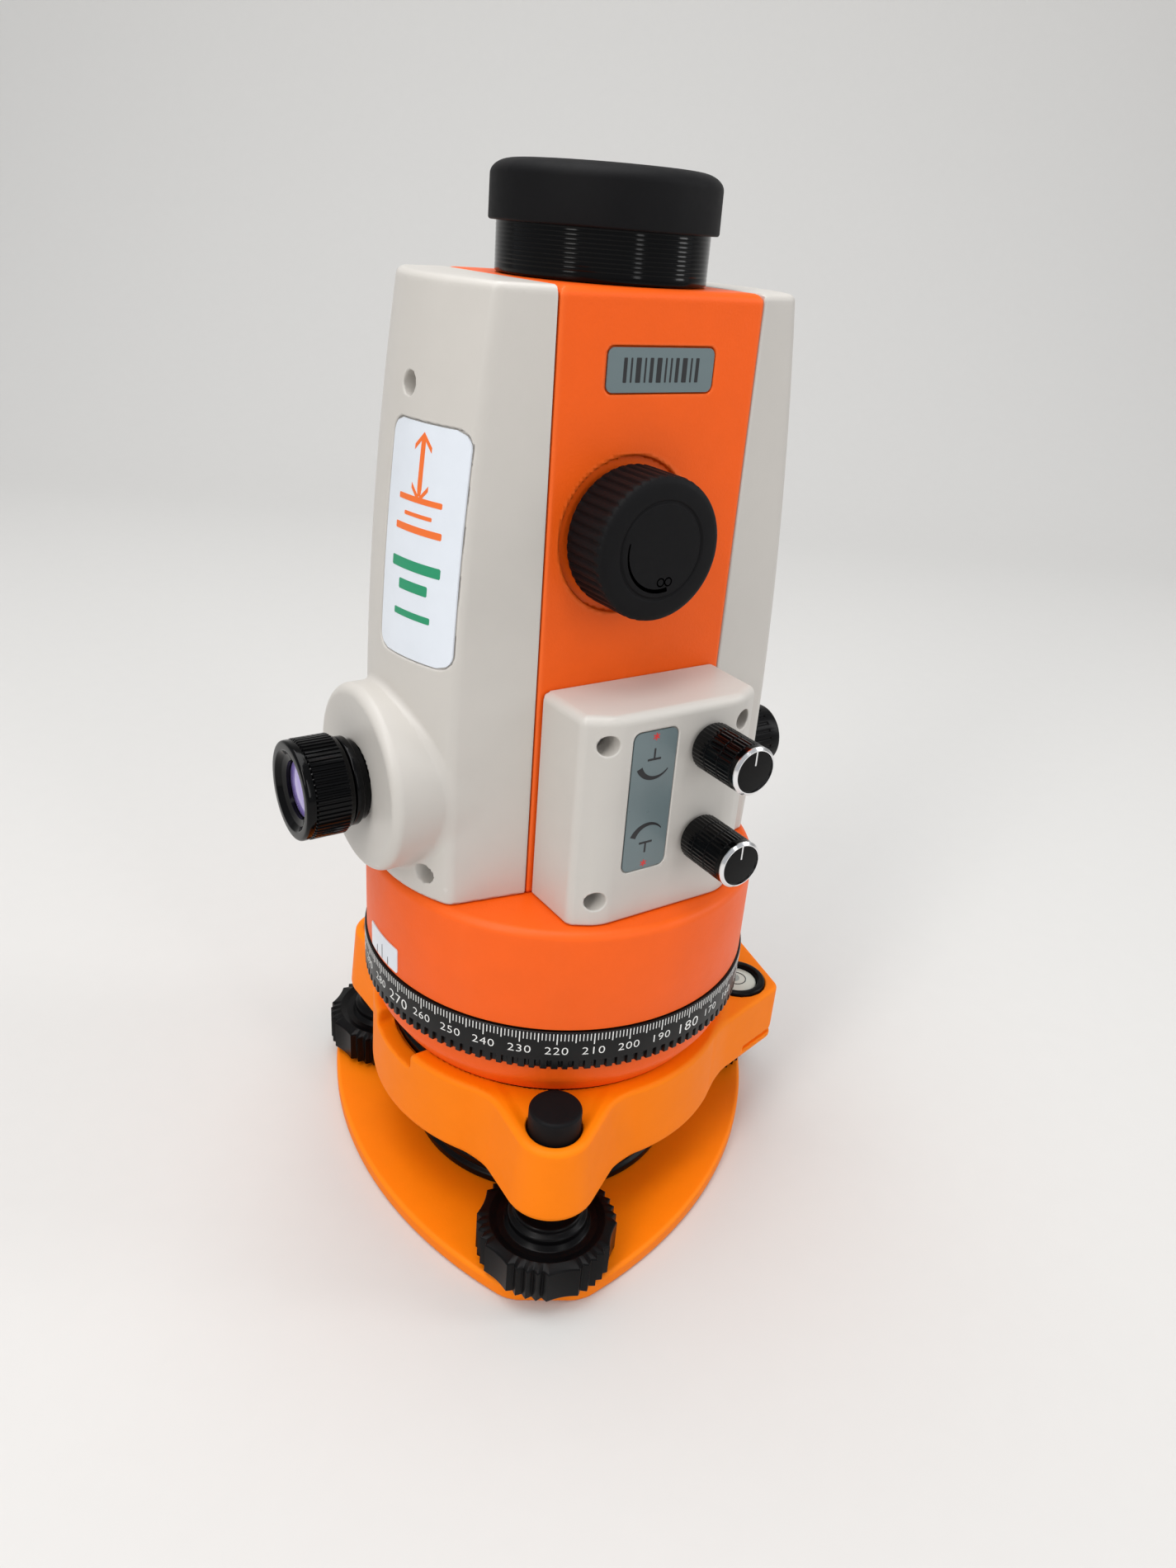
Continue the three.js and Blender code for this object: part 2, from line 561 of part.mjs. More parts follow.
function leftCover() {
  const eyeBoss = leftward(boss(EYE_BOSS.radius, 38, EYE_BOSS.faceX, EYE_BOSS.edge)).translate(0, 0, EYE_BOSS.z);
  const hollow = leftward(rod(EYE_BOSS.radius - 8, 20, EYE_BOSS.faceX - COVER.wall, 24)).translate(0, 0, EYE_BOSS.z);
  const bore = leftward(rod(EYEPIECE.tubeRadius + GAP, 20, 90)).translate(0, 0, EYE_BOSS.z);
  const body = cut(join(coverShell(), eyeBoss), hollow, bore);
  const recess = common(coverSkin(-1, LABEL.recess), labelWindow(0));
  return cut(withScrewPockets(body, leftward), recess);
}

function rightCover() {
  const round = rightward(boss(BATTERY.bossRadius, 38, BATTERY.bossX, 2)).translate(0, 0, BATTERY_Z);
  const well = rightward(rod(BATTERY.packRadius + GAP, 20, 90, 24)).translate(0, 0, BATTERY_Z);
  const shell = coverShell().rotateZ(Math.PI);
  return withScrewPockets(cut(join(shell, round), well), rightward);
}

add('left_cover', leftCover(), warmGrey);
add('right_cover', rightCover(), warmGrey);
addCoverScrews('left', leftward);
addCoverScrews('right', rightward);
const labelSheet = coverSkin(LABEL.recess - GAP - LABEL.thickness, LABEL.recess - GAP);
add('side_label', common(labelSheet, labelWindow(GAP)), labelWhite);

// ---------- eyepiece, battery ----------
function addEyepiece() {
  const { tubeRadius, flangeRadius, flange, ringRadius, ringLength, lensRadius } = EYEPIECE;
  const face = EYE_BOSS.faceX + GAP;
  const ringStart = face + flange + GAP;
  const ringEnd = ringStart + ringLength;
  const tubeEnd = ringEnd - 5;
  const eyeTube = turned([
    [6, 22], [tubeRadius, 22], [tubeRadius, face], [flangeRadius, face], [flangeRadius, face + flange],
    [tubeRadius, face + flange], [tubeRadius, tubeEnd], [6, tubeEnd], [6, 22],
  ], 24);
  const ring = turned([
    [tubeRadius + GAP, ringStart], [ringRadius, ringStart], [ringRadius, ringEnd - 1],
    [ringRadius - 1, ringEnd], [lensRadius + 2, ringEnd], [lensRadius, ringEnd - 1.5],
    [lensRadius, tubeEnd + GAP], [tubeRadius + GAP, tubeEnd + GAP], [tubeRadius + GAP, ringStart],
  ], 24);
  const lens = rod(lensRadius - GAP, tubeEnd + GAP, ringEnd - 2, 20);
  const placed = (geometry) => leftward(geometry).translate(0, 0, EYE_BOSS.z);
  add('eyepiece_tube', placed(eyeTube), blackMetal);
  add('diopter_ring', placed(ring), blackMetal);
  add('eyepiece_lens', placed(lens), glass);
}

function addBattery() {
  const { capRadius, capLength, packRadius, bossX } = BATTERY;
  const face = bossX + GAP;
  const placed = (geometry) => rightward(geometry).translate(0, 0, BATTERY_Z);
  add('battery_cap', placed(boss(capRadius, face, face + capLength, 1.2)), blackPlastic);
  add('battery_pack', placed(rod(packRadius, HOUSING.halfWidth + 1, bossX, 24)), blackPlastic);
}
addEyepiece();
addBattery();

// ---------- control box ----------
function boxShape(inset) {
  const half = BOX.half - inset;
  const back = BOX.backHalf - inset;
  const flat = BOX.flatHalf - inset * 0.3;
  return new THREE.Shape([
    new THREE.Vector2(-back, -HOUSING.halfDepth - GAP), new THREE.Vector2(-half, -BOX.facetY + inset),
    new THREE.Vector2(-flat, -BOX.frontY + inset), new THREE.Vector2(flat, -BOX.frontY + inset),
    new THREE.Vector2(half, -BOX.facetY + inset), new THREE.Vector2(back, -HOUSING.halfDepth - GAP),
  ].reverse());
}

function controlBox() {
  const bottom = HOUSING_Z;
  const outer = upright(boxShape(0), bottom, BOX_TOP);
  const inner = upright(boxShape(BOX.wall), bottom + BOX.wall, BOX_TOP - BOX.wall).translate(0, 0.01, 0);
  const symbols = roundedRectangle(SYMBOLS.xMin, SYMBOLS.xMax, SYMBOLS.zMin, SYMBOLS.zMax, 2);
  const tools = [frontPlate(symbols, BOX.frontY - LABEL.recess, 2)];
  const posts = [];
  const floor = BOX.frontY - BOX_SCREW.depth;
  for (const [, x, z] of boxScrewPlaces) {
    posts.push(frontHole(BOX_SCREW.bossRadius, x, z, HOUSING.halfDepth + GAP, floor + 5));
    tools.push(frontHole(BOX_SCREW.radius, x, z, floor, BOX.frontY + 5));
    tools.push(frontHole(1.2 + GAP, x, z, HOUSING.halfDepth - 1, floor + 1));
  }
  for (const z of [DIAL.zenithZ, DIAL.nadirZ]) {
    tools.push(frontHole(DIAL.shaftRadius + GAP, DIAL.x, z, BOX.frontY - BOX.wall - 1, BOX.frontY + 1));
  }
  return cut(join(cut(outer, inner), ...posts), ...tools);
}
add('control_box', controlBox(), warmGrey);
add('control_label', frontPlate(
  roundedRectangle(SYMBOLS.xMin + GAP, SYMBOLS.xMax - GAP, SYMBOLS.zMin + GAP, SYMBOLS.zMax - GAP, 1.7),
  BOX.frontY - LABEL.recess + GAP, LABEL.thickness,
), labelGrey);

for (const [name, x, z] of boxScrewPlaces) {
  const floor = BOX.frontY - BOX_SCREW.depth + GAP;
  const tip = HOUSING.halfDepth - 1;
  const screw = turned([
    [0, tip], [1.2, tip], [1.2, floor], [BOX_SCREW.radius - GAP, floor], [BOX_SCREW.radius - GAP, floor + 2],
    [0, floor + 2],
  ], 8);
  add(`box_screw_${name}`, forward(screw).translate(x, 0, z), steel);
}

function addDial(name, z) {
  const back = HOUSING.halfDepth + 2;
  const inside = BOX.frontY - BOX.wall - GAP;
  const start = BOX.frontY + 0.8;
  const end = start + DIAL.length;
  const body = join(
    block(DIAL.x - 6, DIAL.x + 6, -inside, -back, z - 6, z + 6),
    frontHole(DIAL.shaftRadius, DIAL.x, z, inside - 1, start + 8),
  );
  const knob = turned([
    [0, start + 8 + GAP], [DIAL.shaftRadius + GAP, start + 8 + GAP], [DIAL.shaftRadius + GAP, start],
    [DIAL.radius, start], [DIAL.radius, end - 0.6], [DIAL.radius - 0.6, end], [0, end],
  ], 24);
  add(`${name}_control`, body, steel);
  add(`${name}_knob`, forward(knob).translate(DIAL.x, 0, z), blackMetal);
}
addDial('zenith_laser', DIAL.zenithZ);
addDial('nadir_laser', DIAL.nadirZ);

// ---------- telescope ----------
function addTelescope() {
  const neck = HOUSING_TOP + GAP;
  const barrel = turned([
    [BARREL.tubeRadius - 3, BARREL.tubeBottomZ], [BARREL.tubeRadius, BARREL.tubeBottomZ],
    [BARREL.tubeRadius, neck], [BARREL.radius, neck], [BARREL.radius, BARREL.topZ],
    [BARREL.bore + 2, BARREL.topZ], [BARREL.bore + 2, neck + 10], [BARREL.tubeRadius - 3, neck + 10],
    [BARREL.tubeRadius - 3, BARREL.tubeBottomZ],
  ]);
  const lens = turned([
    [0, neck + 10 + GAP], [BARREL.bore + 2 - GAP, neck + 10 + GAP], [BARREL.bore + 2 - GAP, neck + 15],
    [0, neck + 17],
  ], ROUND);
  const bore = BARREL.tubeRadius - 3 - GAP;
  const cell = turned([
    [0, FOCUS.z - 2], [bore - 3, FOCUS.z - 2], [bore - 3, FOCUS.z - 6], [bore, FOCUS.z - 6], [bore, FOCUS.z + 6],
    [bore - 3, FOCUS.z + 6], [bore - 3, FOCUS.z + 2], [0, FOCUS.z + 2],
  ], 24);
  add('objective_barrel', barrel, blackMetal);
  add('objective_lens', lens, glass);
  add('focusing_cell', cell, brass);
}
addTelescope();

function rubberCap() {
  const inside = BARREL.radius + GAP;
  const radius = inside + RUBBER.wall;
  const bottomZ = BARREL.topZ - RUBBER.skirt;
  const topZ = BARREL.topZ + GAP + RUBBER.thickness;
  return turned([
    [0, BARREL.topZ + GAP], [inside, BARREL.topZ + GAP], [inside, bottomZ], [radius, bottomZ],
    [radius, topZ - 3.8], [radius - 1.6, topZ - 1.7], [radius - 5, topZ - 0.5], [0, topZ],
  ]);
}
add('objective_cap', rubberCap(), blackRubber);

function addFocus() {
  const start = HOUSING.halfDepth - 1.2 + GAP + 0.5;
  const end = start + FOCUS.length + 1;
  const knob = turned([
    [0, start + 7 + GAP], [FOCUS.shaftRadius + GAP, start + 7 + GAP], [FOCUS.shaftRadius + GAP, start],
    [FOCUS.radius, start], [FOCUS.radius, end - 1.5], [FOCUS.radius - 1.5, end], [0, end],
  ], ROUND);
  const shaft = frontHole(FOCUS.shaftRadius, FOCUS.x, FOCUS.z, BARREL.tubeRadius + 0.8, start + 7);
  add('focus_knob', forward(knob).translate(FOCUS.x, 0, FOCUS.z), blackRubber);
  add('focus_pinion', shaft, steel);
}
addFocus();

add('zenith_laser', rod(6, HOUSING_Z + HOUSING.wall + GAP, EYE_BOSS.z - 14, 24), brass);
add('beam_splitter', block(-8, 8, -8, 8, EYE_BOSS.z - 8, EYE_BOSS.z + 8), glass);

function indexSticker() {
  const inner = DRUM.radius + GAP;
  const band = tube(inner, inner + STICKER.thickness, STICKER.zMin, STICKER.zMax, 72);
  return common(band, block(-60, -30, -STICKER.half, STICKER.half, STICKER.zMin - 1, STICKER.zMax + 1));
}
add('index_sticker', indexSticker(), labelWhite);

// ---------- stand the model centred on the origin ----------
const bounds = new THREE.Box3().setFromObject(model);
const centre = bounds.getCenter(new THREE.Vector3());
model.position.set(-centre.x, -centre.y, -bounds.min.z);

const group = new THREE.Group();
group.name = 'laser_plummet';
group.add(model);

export default group;
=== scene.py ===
"""Detailed visual model of a zenith and nadir laser plummet on a three-screw tribrach.

Lengths in the modelling code are millimetres about the instrument's vertical axis, with z = 0 on
the floor. They are turned into metres in the frame's own axes when a mesh is made.
"""
import math

import bpy
import numpy as np
from mathutils import Matrix, Vector


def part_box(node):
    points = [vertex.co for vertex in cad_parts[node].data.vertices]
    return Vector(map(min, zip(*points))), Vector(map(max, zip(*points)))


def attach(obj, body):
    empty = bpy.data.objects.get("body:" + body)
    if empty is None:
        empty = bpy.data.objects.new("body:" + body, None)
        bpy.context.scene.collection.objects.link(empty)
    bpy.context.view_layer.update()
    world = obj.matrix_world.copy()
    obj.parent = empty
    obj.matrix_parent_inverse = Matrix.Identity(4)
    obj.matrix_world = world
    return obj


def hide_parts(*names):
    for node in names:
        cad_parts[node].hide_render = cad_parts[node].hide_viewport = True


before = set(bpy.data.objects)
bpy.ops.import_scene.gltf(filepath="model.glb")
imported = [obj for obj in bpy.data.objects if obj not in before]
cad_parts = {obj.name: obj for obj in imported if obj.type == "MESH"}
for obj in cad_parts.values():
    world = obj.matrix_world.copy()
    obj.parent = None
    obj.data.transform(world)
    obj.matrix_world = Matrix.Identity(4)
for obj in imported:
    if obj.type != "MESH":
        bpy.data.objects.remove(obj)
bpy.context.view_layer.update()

MM = 0.001
ring_low, ring_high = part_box("graduated_ring")
AXIS_XY = np.array([(ring_low[0] + ring_high[0]) / 2, (ring_low[1] + ring_high[1]) / 2, 0.0])


def cad(node):
    """A CAD node's low and high corners in millimetres about the vertical axis."""
    low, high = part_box(node)
    return (np.array(low) - AXIS_XY) / MM, (np.array(high) - AXIS_XY) / MM


def middle(node):
    low, high = cad(node)
    return (low + high) / 2


# ---------------------------------------------------------------- places taken from the frame
BASE_LOW, BASE_HIGH = cad("base_plate")
BODY_LOW, BODY_HIGH = cad("tribrach_body")
FLANGE_LOW, FLANGE_HIGH = cad("lower_flange")
RING_LOW, RING_HIGH = cad("graduated_ring")
DRUM_LOW, DRUM_HIGH = cad("drum")
HOUSING_LOW, HOUSING_HIGH = cad("main_housing")
BOX_LOW, BOX_HIGH = cad("control_box")
SEAM = HOUSING_HIGH[0]
EYE = middle("eyepiece_tube")
SCREW_PLACES = [middle(f"footscrew_knob_{number}") for number in (1, 2, 3)]

# ---------------------------------------------------------------- meshes
TURNS = {
    "up": np.array([[1, 0, 0], [0, 1, 0], [0, 0, 1]]),
    "front": np.array([[1, 0, 0], [0, 0, -1], [0, 1, 0]]),
    "left": np.array([[0, 0, -1], [0, 1, 0], [1, 0, 0]]),
    "right": np.array([[0, 0, 1], [0, 1, 0], [-1, 0, 0]]),
}


def make(name, points, faces, normals=None, sharp=35):
    """A mesh object from points in millimetres about the vertical axis."""
    mesh = bpy.data.meshes.new(name)
    mesh.from_pydata((np.asarray(points) * MM + AXIS_XY).tolist(), [], faces)
    mesh.validate()
    mesh.shade_smooth()
    if normals is None:
        mesh.set_sharp_from_angle(angle=math.radians(sharp))
    else:
        mesh.normals_split_custom_set_from_vertices(normals.tolist())
    obj = bpy.data.objects.new(name, mesh)
    bpy.context.collection.objects.link(obj)
    return obj


def fillet(points, steps=5):
    """A profile with its corners rounded: each point is (r, z) or (r, z, radius)."""
    result = []
    for i, point in enumerate(points):
        corner = np.array(point[:2], float)
        if len(point) < 3:
            result.append(corner)
            continue
        before = np.array(points[i - 1][:2], float) - corner
        after = np.array(points[(i + 1) % len(points)][:2], float) - corner
        reach = [np.linalg.norm(before), np.linalg.norm(after)]
        before, after = before / reach[0], after / reach[1]
        half = math.acos(np.clip(before @ after, -1, 1)) / 2
        tangent = min(point[2] / math.tan(half), 0.48 * min(reach))
        radius = tangent * math.tan(half)
        bisector = (before + after) / np.linalg.norm(before + after)
        centre = corner + bisector * radius / math.sin(half)
        start = corner + before * tangent - centre
        end = corner + after * tangent - centre
        sweep = math.atan2(start[0] * end[1] - start[1] * end[0], start @ end)
        for step in range(steps + 1):
            angle = sweep * step / steps
            c, s = math.cos(angle), math.sin(angle)
            result.append(centre + [c * start[0] - s * start[1], s * start[0] + c * start[1]])
    return result


def turned(name, points, segments=128, wave=None, axis="up", at=(0, 0, 0), closed=False, sharp=35):
    """A turned piece. wave(angle, r, z) may change the radius, for ribs and slots."""
    profile = np.array(fillet(points))
    angles = np.arange(segments) * 2 * math.pi / segments
    verts, rows = [], []
    for r, z in profile:
        if r < 1e-6:
            rows.append([len(verts)])
            verts.append((0, 0, z))
            continue
        radius = np.full(segments, r) if wave is None else wave(angles, r, z)
        rows.append(list(range(len(verts), len(verts) + segments)))
        verts.extend(zip(radius * np.cos(angles), radius * np.sin(angles), np.full(segments, z)))
    pairs = list(zip(rows, rows[1:]))
    if closed:
        pairs.append((rows[-1], rows[0]))
    faces = []
    for low, high in pairs:
        for i in range(segments):
            j = (i + 1) % segments
            if len(low) == 1:
                faces.append((low[0], high[j], high[i]))
            elif len(high) == 1:
                faces.append((low[i], low[j], high[0]))
            else:
                faces.append((low[i], low[j], high[j], high[i]))
    placed = np.array(verts) @ TURNS[axis].T + np.array(at)
    return make(name, placed, faces, sharp=sharp)


def prism(name, outline, depth, axis="up", at=(0, 0, 0), bend=None, sharp=30):
    """A closed flat solid from a 2D outline, counter-clockwise, thickened along the axis."""
    count = len(outline)
    flat = [(x, y, 0) for x, y in outline] + [(x, y, depth) for x, y in outline]
    points = np.array(flat, float) @ TURNS[axis].T + np.array(at)
    if bend is not None:
        points = bend(points)
    faces = [tuple(range(count))[::-1], tuple(range(count, 2 * count))]
    for i in range(count):
        j = (i + 1) % count
        faces.append((i, j, count + j, count + i))
    return make(name, points, faces, sharp=sharp)


def rounded_rectangle(width, height, radius, centre=(0, 0), steps=6):
    points = []
    for cx, cy, start in ((1, -1, -90), (1, 1, 0), (-1, 1, 90), (-1, -1, 180)):
        for step in range(steps + 1):
            angle = math.radians(start + 90 * step / steps)
            points.append((
                centre[0] + cx * (width / 2 - radius) + radius * math.cos(angle),
                centre[1] + cy * (height / 2 - radius) + radius * math.sin(angle),
            ))
    return points


def joined(name, objects):
    """One object from several."""
    bpy.ops.object.select_all(action="DESELECT")
    for obj in objects:
        obj.select_set(True)
    bpy.context.view_layer.objects.active = objects[0]
    bpy.ops.object.join()
    objects[0].name = name
    objects[0].data.name = name
    return objects[0]


# ---------------------------------------------------------------- rounded solids from distances
def outer_corner(a, b, radius):
    """Where both distances hold, with the outside corner rounded."""
    rounding = np.hypot(np.maximum(a + radius, 0), np.maximum(b + radius, 0))
    return np.minimum(-radius, np.maximum(a, b)) + rounding


def inner_corner(a, b, radius):
    """Either solid, with the inside corner between them filled."""
    rounding = np.hypot(np.maximum(radius - a, 0), np.maximum(radius - b, 0))
    return np.maximum(radius, np.minimum(a, b)) - rounding


def all_of(distances, radius):
    result = distances[0]
    for distance in distances[1:]:
        result = outer_corner(result, distance, radius)
    return result


def carved(solid, tool, radius=0.3):
    return outer_corner(solid, -tool, radius)


def box_2d(u, v, low, high, radius):
    centre = (np.array(low) + np.array(high)) / 2
    half = (np.array(high) - np.array(low)) / 2 - radius
    du, dv = np.abs(u - centre[0]) - half[0], np.abs(v - centre[1]) - half[1]
    return np.hypot(np.maximum(du, 0), np.maximum(dv, 0)) + np.minimum(np.maximum(du, dv), 0) - radius


def grid_ticks(low, high, cell, fine):
    """Grid planes from low to high; fine holds (start, end, cell) spans with closer planes."""
    ticks = [low]
    while ticks[-1] < high:
        step = cell
        for start, end, small in fine:
            if start <= ticks[-1] < end:
                step = min(step, small)
        ticks.append(ticks[-1] + step)
    return np.array(ticks)


def around(places, reach, cell):
    return [(place - reach, place + reach, cell) for place in places]


def solid(name, distance, low, high, cell, fine=((), (), ())):
    """The zero surface of distance(points), as a closed quad mesh with exact normals."""
    ticks = [grid_ticks(low[i] - 1.5 * cell, high[i] + 1.5 * cell, cell, fine[i]) for i in range(3)]
    values = distance(np.stack(np.meshgrid(*ticks, indexing="ij"), -1))
    inside = values < 0
    shape = tuple(len(line) - 1 for line in ticks)
    sums = np.zeros((int(np.prod(shape)), 3))
    hits = np.zeros(len(sums))
    loops = []
    for axis in range(3):
        head = [slice(None)] * 3
        tail = [slice(None)] * 3
        head[axis], tail[axis] = slice(0, -1), slice(1, None)
        crossing = inside[tuple(head)] != inside[tuple(tail)]
        edges = np.argwhere(crossing)
        first = values[tuple(head)][crossing]
        second = values[tuple(tail)][crossing]
        spot = np.stack([ticks[i][edges[:, i]] for i in range(3)], 1)
        spot[:, axis] += np.diff(ticks[axis])[edges[:, axis]] * first / (first - second)
        others = [i for i in range(3) if i != axis]
        if axis == 1:
            others.reverse()
        ring = []
        for step_a, step_b in ((0, 0), (1, 0), (1, 1), (0, 1)):
            corner = edges.copy()
            corner[:, others[0]] -= step_a
            corner[:, others[1]] -= step_b
            flat = np.ravel_multi_index(corner.T, shape)
            for i in range(3):
                sums[:, i] += np.bincount(flat, spot[:, i], len(sums))
            hits += np.bincount(flat, minlength=len(sums))
            ring.append(flat)
        ring = np.stack(ring, 1)
        outward = first < 0
        ring[~outward] = ring[~outward][:, ::-1]
        loops.append(ring)
    used = hits > 0
    points = sums[used] / hits[used][:, None]
    number = np.cumsum(used) - 1
    cells = np.unravel_index(np.flatnonzero(used), shape)
    reach = 0.4 * np.minimum.reduce([np.diff(ticks[i])[cells[i]] for i in range(3)])
    step = 0.01
    for _ in range(4):
        value, slope = gradient(distance, points, step)
        length = np.maximum((slope ** 2).sum(1), 0.2)
        move = -(value / length)[:, None] * slope
        limit = np.maximum(np.abs(move).max(1) / reach, 1)
        points = points + move / limit[:, None]
    _, slope = gradient(distance, points, step)
    normals = slope / np.maximum(np.linalg.norm(slope, axis=1), 1e-9)[:, None]
    return make(name, points, number[np.concatenate(loops)].tolist(), normals=normals)


def gradient(distance, points, step):
    value = distance(points)
    slope = np.zeros_like(points)
    for i in range(3):
        ahead, behind = points.copy(), points.copy()
        ahead[:, i] += step
        behind[:, i] -= step
        slope[:, i] = (distance(ahead) - distance(behind)) / (2 * step)
    return value, slope


# ---------------------------------------------------------------- materials
def material(name, color, roughness, metallic=0.0, grain=0.0, grain_size=0.5, mottle=0.05,
             scratch=0.0, coat=0.0, wear=0.0, wear_color=(0.8, 0.8, 0.8), specular=0.5):
    """A surface whose colour, roughness and fine relief vary with object-space noise."""
    result = bpy.data.materials.new(name)
    result.use_nodes = True
    nodes, links = result.node_tree.nodes, result.node_tree.links
    shader = nodes["Principled BSDF"]
    shader.inputs["Metallic"].default_value = metallic
    shader.inputs["Specular IOR Level"].default_value = specular
    shader.inputs["Coat Weight"].default_value = coat
    shader.inputs["Coat Roughness"].default_value = 0.15
    place = nodes.new("ShaderNodeTexCoord")

    def noise(size_mm, detail=2.0):
        node = nodes.new("ShaderNodeTexNoise")
        node.inputs["Scale"].default_value = 1 / (size_mm * MM)
        node.inputs["Detail"].default_value = detail
        links.new(place.outputs["Object"], node.inputs["Vector"])
        return node.outputs["Fac"]

    blend = nodes.new("ShaderNodeMix")
    blend.data_type = "RGBA"
    blend.inputs["A"].default_value = (*[c * (1 - mottle) for c in color], 1)
    blend.inputs["B"].default_value = (*[min(1, c * (1 + mottle)) for c in color], 1)
    links.new(noise(9.0, 4), blend.inputs["Factor"])
    tint = blend.outputs["Result"]
    if wear:
        geometry = nodes.new("ShaderNodeNewGeometry")
        edge = nodes.new("ShaderNodeMapRange")
        edge.inputs["From Min"].default_value = 0.51
        edge.inputs["From Max"].default_value = 0.60
        edge.inputs["To Max"].default_value = wear
        links.new(geometry.outputs["Pointiness"], edge.inputs["Value"])
        worn = nodes.new("ShaderNodeMix")
        worn.data_type = "RGBA"
        worn.inputs["B"].default_value = (*wear_color, 1)
        links.new(edge.outputs["Result"], worn.inputs["Factor"])
        links.new(tint, worn.inputs["A"])
        tint = worn.outputs["Result"]
    links.new(tint, shader.inputs["Base Color"])

    gloss = nodes.new("ShaderNodeMapRange")
    gloss.inputs["To Min"].default_value = max(0.02, roughness - 0.06)
    gloss.inputs["To Max"].default_value = roughness + 0.06
    links.new(noise(3.0, 3), gloss.inputs["Value"])
    links.new(gloss.outputs["Result"], shader.inputs["Roughness"])

    if grain or scratch:
        bump = nodes.new("ShaderNodeBump")
        bump.inputs["Strength"].default_value = 1.0
        bump.inputs["Distance"].default_value = (grain or scratch) * MM
        links.new(noise(grain_size, 2 if grain else 6), bump.inputs["Height"])
        links.new(bump.outputs["Normal"], shader.inputs["Normal"])
    return result


# each look's colour and roughness, then what else material() takes
LOOKS = {
    "tribrach_orange": ((0.98, 0.215, 0.0), 0.55, {
        "grain": 0.03, "wear": 0.2, "wear_color": (1.0, 0.40, 0.05), "specular": 0.15}),
    "body_orange": ((0.90, 0.112, 0.004), 0.45, {
        "grain": 0.055, "wear": 0.2, "wear_color": (1.0, 0.34, 0.12), "specular": 0.25}),
    "warm_grey": ((0.575, 0.545, 0.505), 0.40, {
        "grain": 0.010, "grain_size": 0.3, "mottle": 0.025, "wear": 0.2, "wear_color": (0.78, 0.76, 0.72),
        "specular": 0.45}),
    "black_plastic": ((0.0022, 0.0020, 0.0023), 0.32, {
        "grain": 0.008, "grain_size": 0.35, "mottle": 0.3, "specular": 0.12}),
    "black_metal": ((0.0012, 0.0012, 0.0014), 0.11, {
        "scratch": 0.002, "grain_size": 0.2, "mottle": 0.2, "specular": 0.15}),
    "circle_black": ((0.003, 0.003, 0.0033), 0.34, {
        "scratch": 0.003, "grain_size": 0.2, "mottle": 0.25, "specular": 0.25}),
    "black_rubber": ((0.0036, 0.0034, 0.0040), 0.6, {
        "grain": 0.012, "grain_size": 0.25, "mottle": 0.3, "specular": 0.14}),
    "steel": ((0.55, 0.55, 0.57), 0.28, {"metallic": 1.0, "scratch": 0.006, "grain_size": 0.15}),
    "silver": ((0.85, 0.85, 0.86), 0.18, {"metallic": 1.0, "scratch": 0.003, "grain_size": 0.12}),
    "brass": ((0.72, 0.5, 0.2), 0.3, {"metallic": 1.0, "scratch": 0.005, "grain_size": 0.2}),
    "glass": ((0.85, 0.9, 0.92), 0.03, {"mottle": 0.02}),
    "coated_lens": ((0.30, 0.22, 0.62), 0.08, {"mottle": 0.12, "coat": 1.0}),
    "level_liquid": ((0.62, 0.66, 0.58), 0.12, {"mottle": 0.08, "coat": 1.0}),
    "label_grey": ((0.145, 0.19, 0.20), 0.3, {"grain": 0.004, "grain_size": 0.3}),
    "label_white": ((0.74, 0.78, 0.84), 0.22, {"grain": 0.003, "grain_size": 0.4, "coat": 0.4}),
    "white_mark": ((0.85, 0.85, 0.83), 0.5, {}),
    "black_mark": ((0.012, 0.012, 0.014), 0.45, {}),
    "red_mark": ((0.65, 0.03, 0.03), 0.45, {}),
    "orange_mark": ((0.86, 0.16, 0.02), 0.4, {}),
    "green_mark": ((0.01, 0.28, 0.13), 0.4, {}),
}
MATERIALS = {name: material(name, color, roughness, **more) for name, (color, roughness, more) in LOOKS.items()}
GLASS_SHADER = MATERIALS["glass"].node_tree.nodes["Principled BSDF"]
GLASS_SHADER.inputs["Transmission Weight"].default_value = 0.9
GLASS_SHADER.inputs["IOR"].default_value = 1.47


def finish_piece(obj, body, look, *nodes):
    """Gives a piece its material and body, and hides the CAD nodes it stands for."""
    obj.data.materials.clear()
    obj.data.materials.append(MATERIALS[look])
    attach(obj, body)
    if nodes:
        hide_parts(*nodes)
    return obj


# ---------------------------------------------------------------- tribrach
BASE_CORNER_FLAT = 20.0
BASE_EDGE_RADIUS = 60.5
SCREW_HOLE_RADIUS = 7.9


def circle_through(start, mid, end, steps):
    """Points on the circle through three points, both ends included."""
    (ax, ay), (bx, by), (cx, cy) = start, mid, end
    d = 2 * (ax * (by - cy) + bx * (cy - ay) + cx * (ay - by))
    ux = ((ax**2 + ay**2) * (by - cy) + (bx**2 + by**2) * (cy - ay) + (cx**2 + cy**2) * (ay - by)) / d
    uy = ((ax**2 + ay**2) * (cx - bx) + (bx**2 + by**2) * (ax - cx) + (cx**2 + cy**2) * (bx - ax)) / d
    radius = math.hypot(ax - ux, ay - uy)
    first = math.atan2(ay - uy, ax - ux)
    sweep = (math.atan2(cy - uy, cx - ux) - first + math.pi) % (2 * math.pi) - math.pi
    angles = [first + sweep * i / steps for i in range(steps + 1)]
    return [(ux + radius * math.cos(a), uy + radius * math.sin(a)) for a in angles]


def polar(radius, degrees):
    return radius * math.cos(math.radians(degrees)), radius * math.sin(math.radians(degrees))


def arm_directions():
    return [math.degrees(math.atan2(place[1], place[0])) for place in SCREW_PLACES]


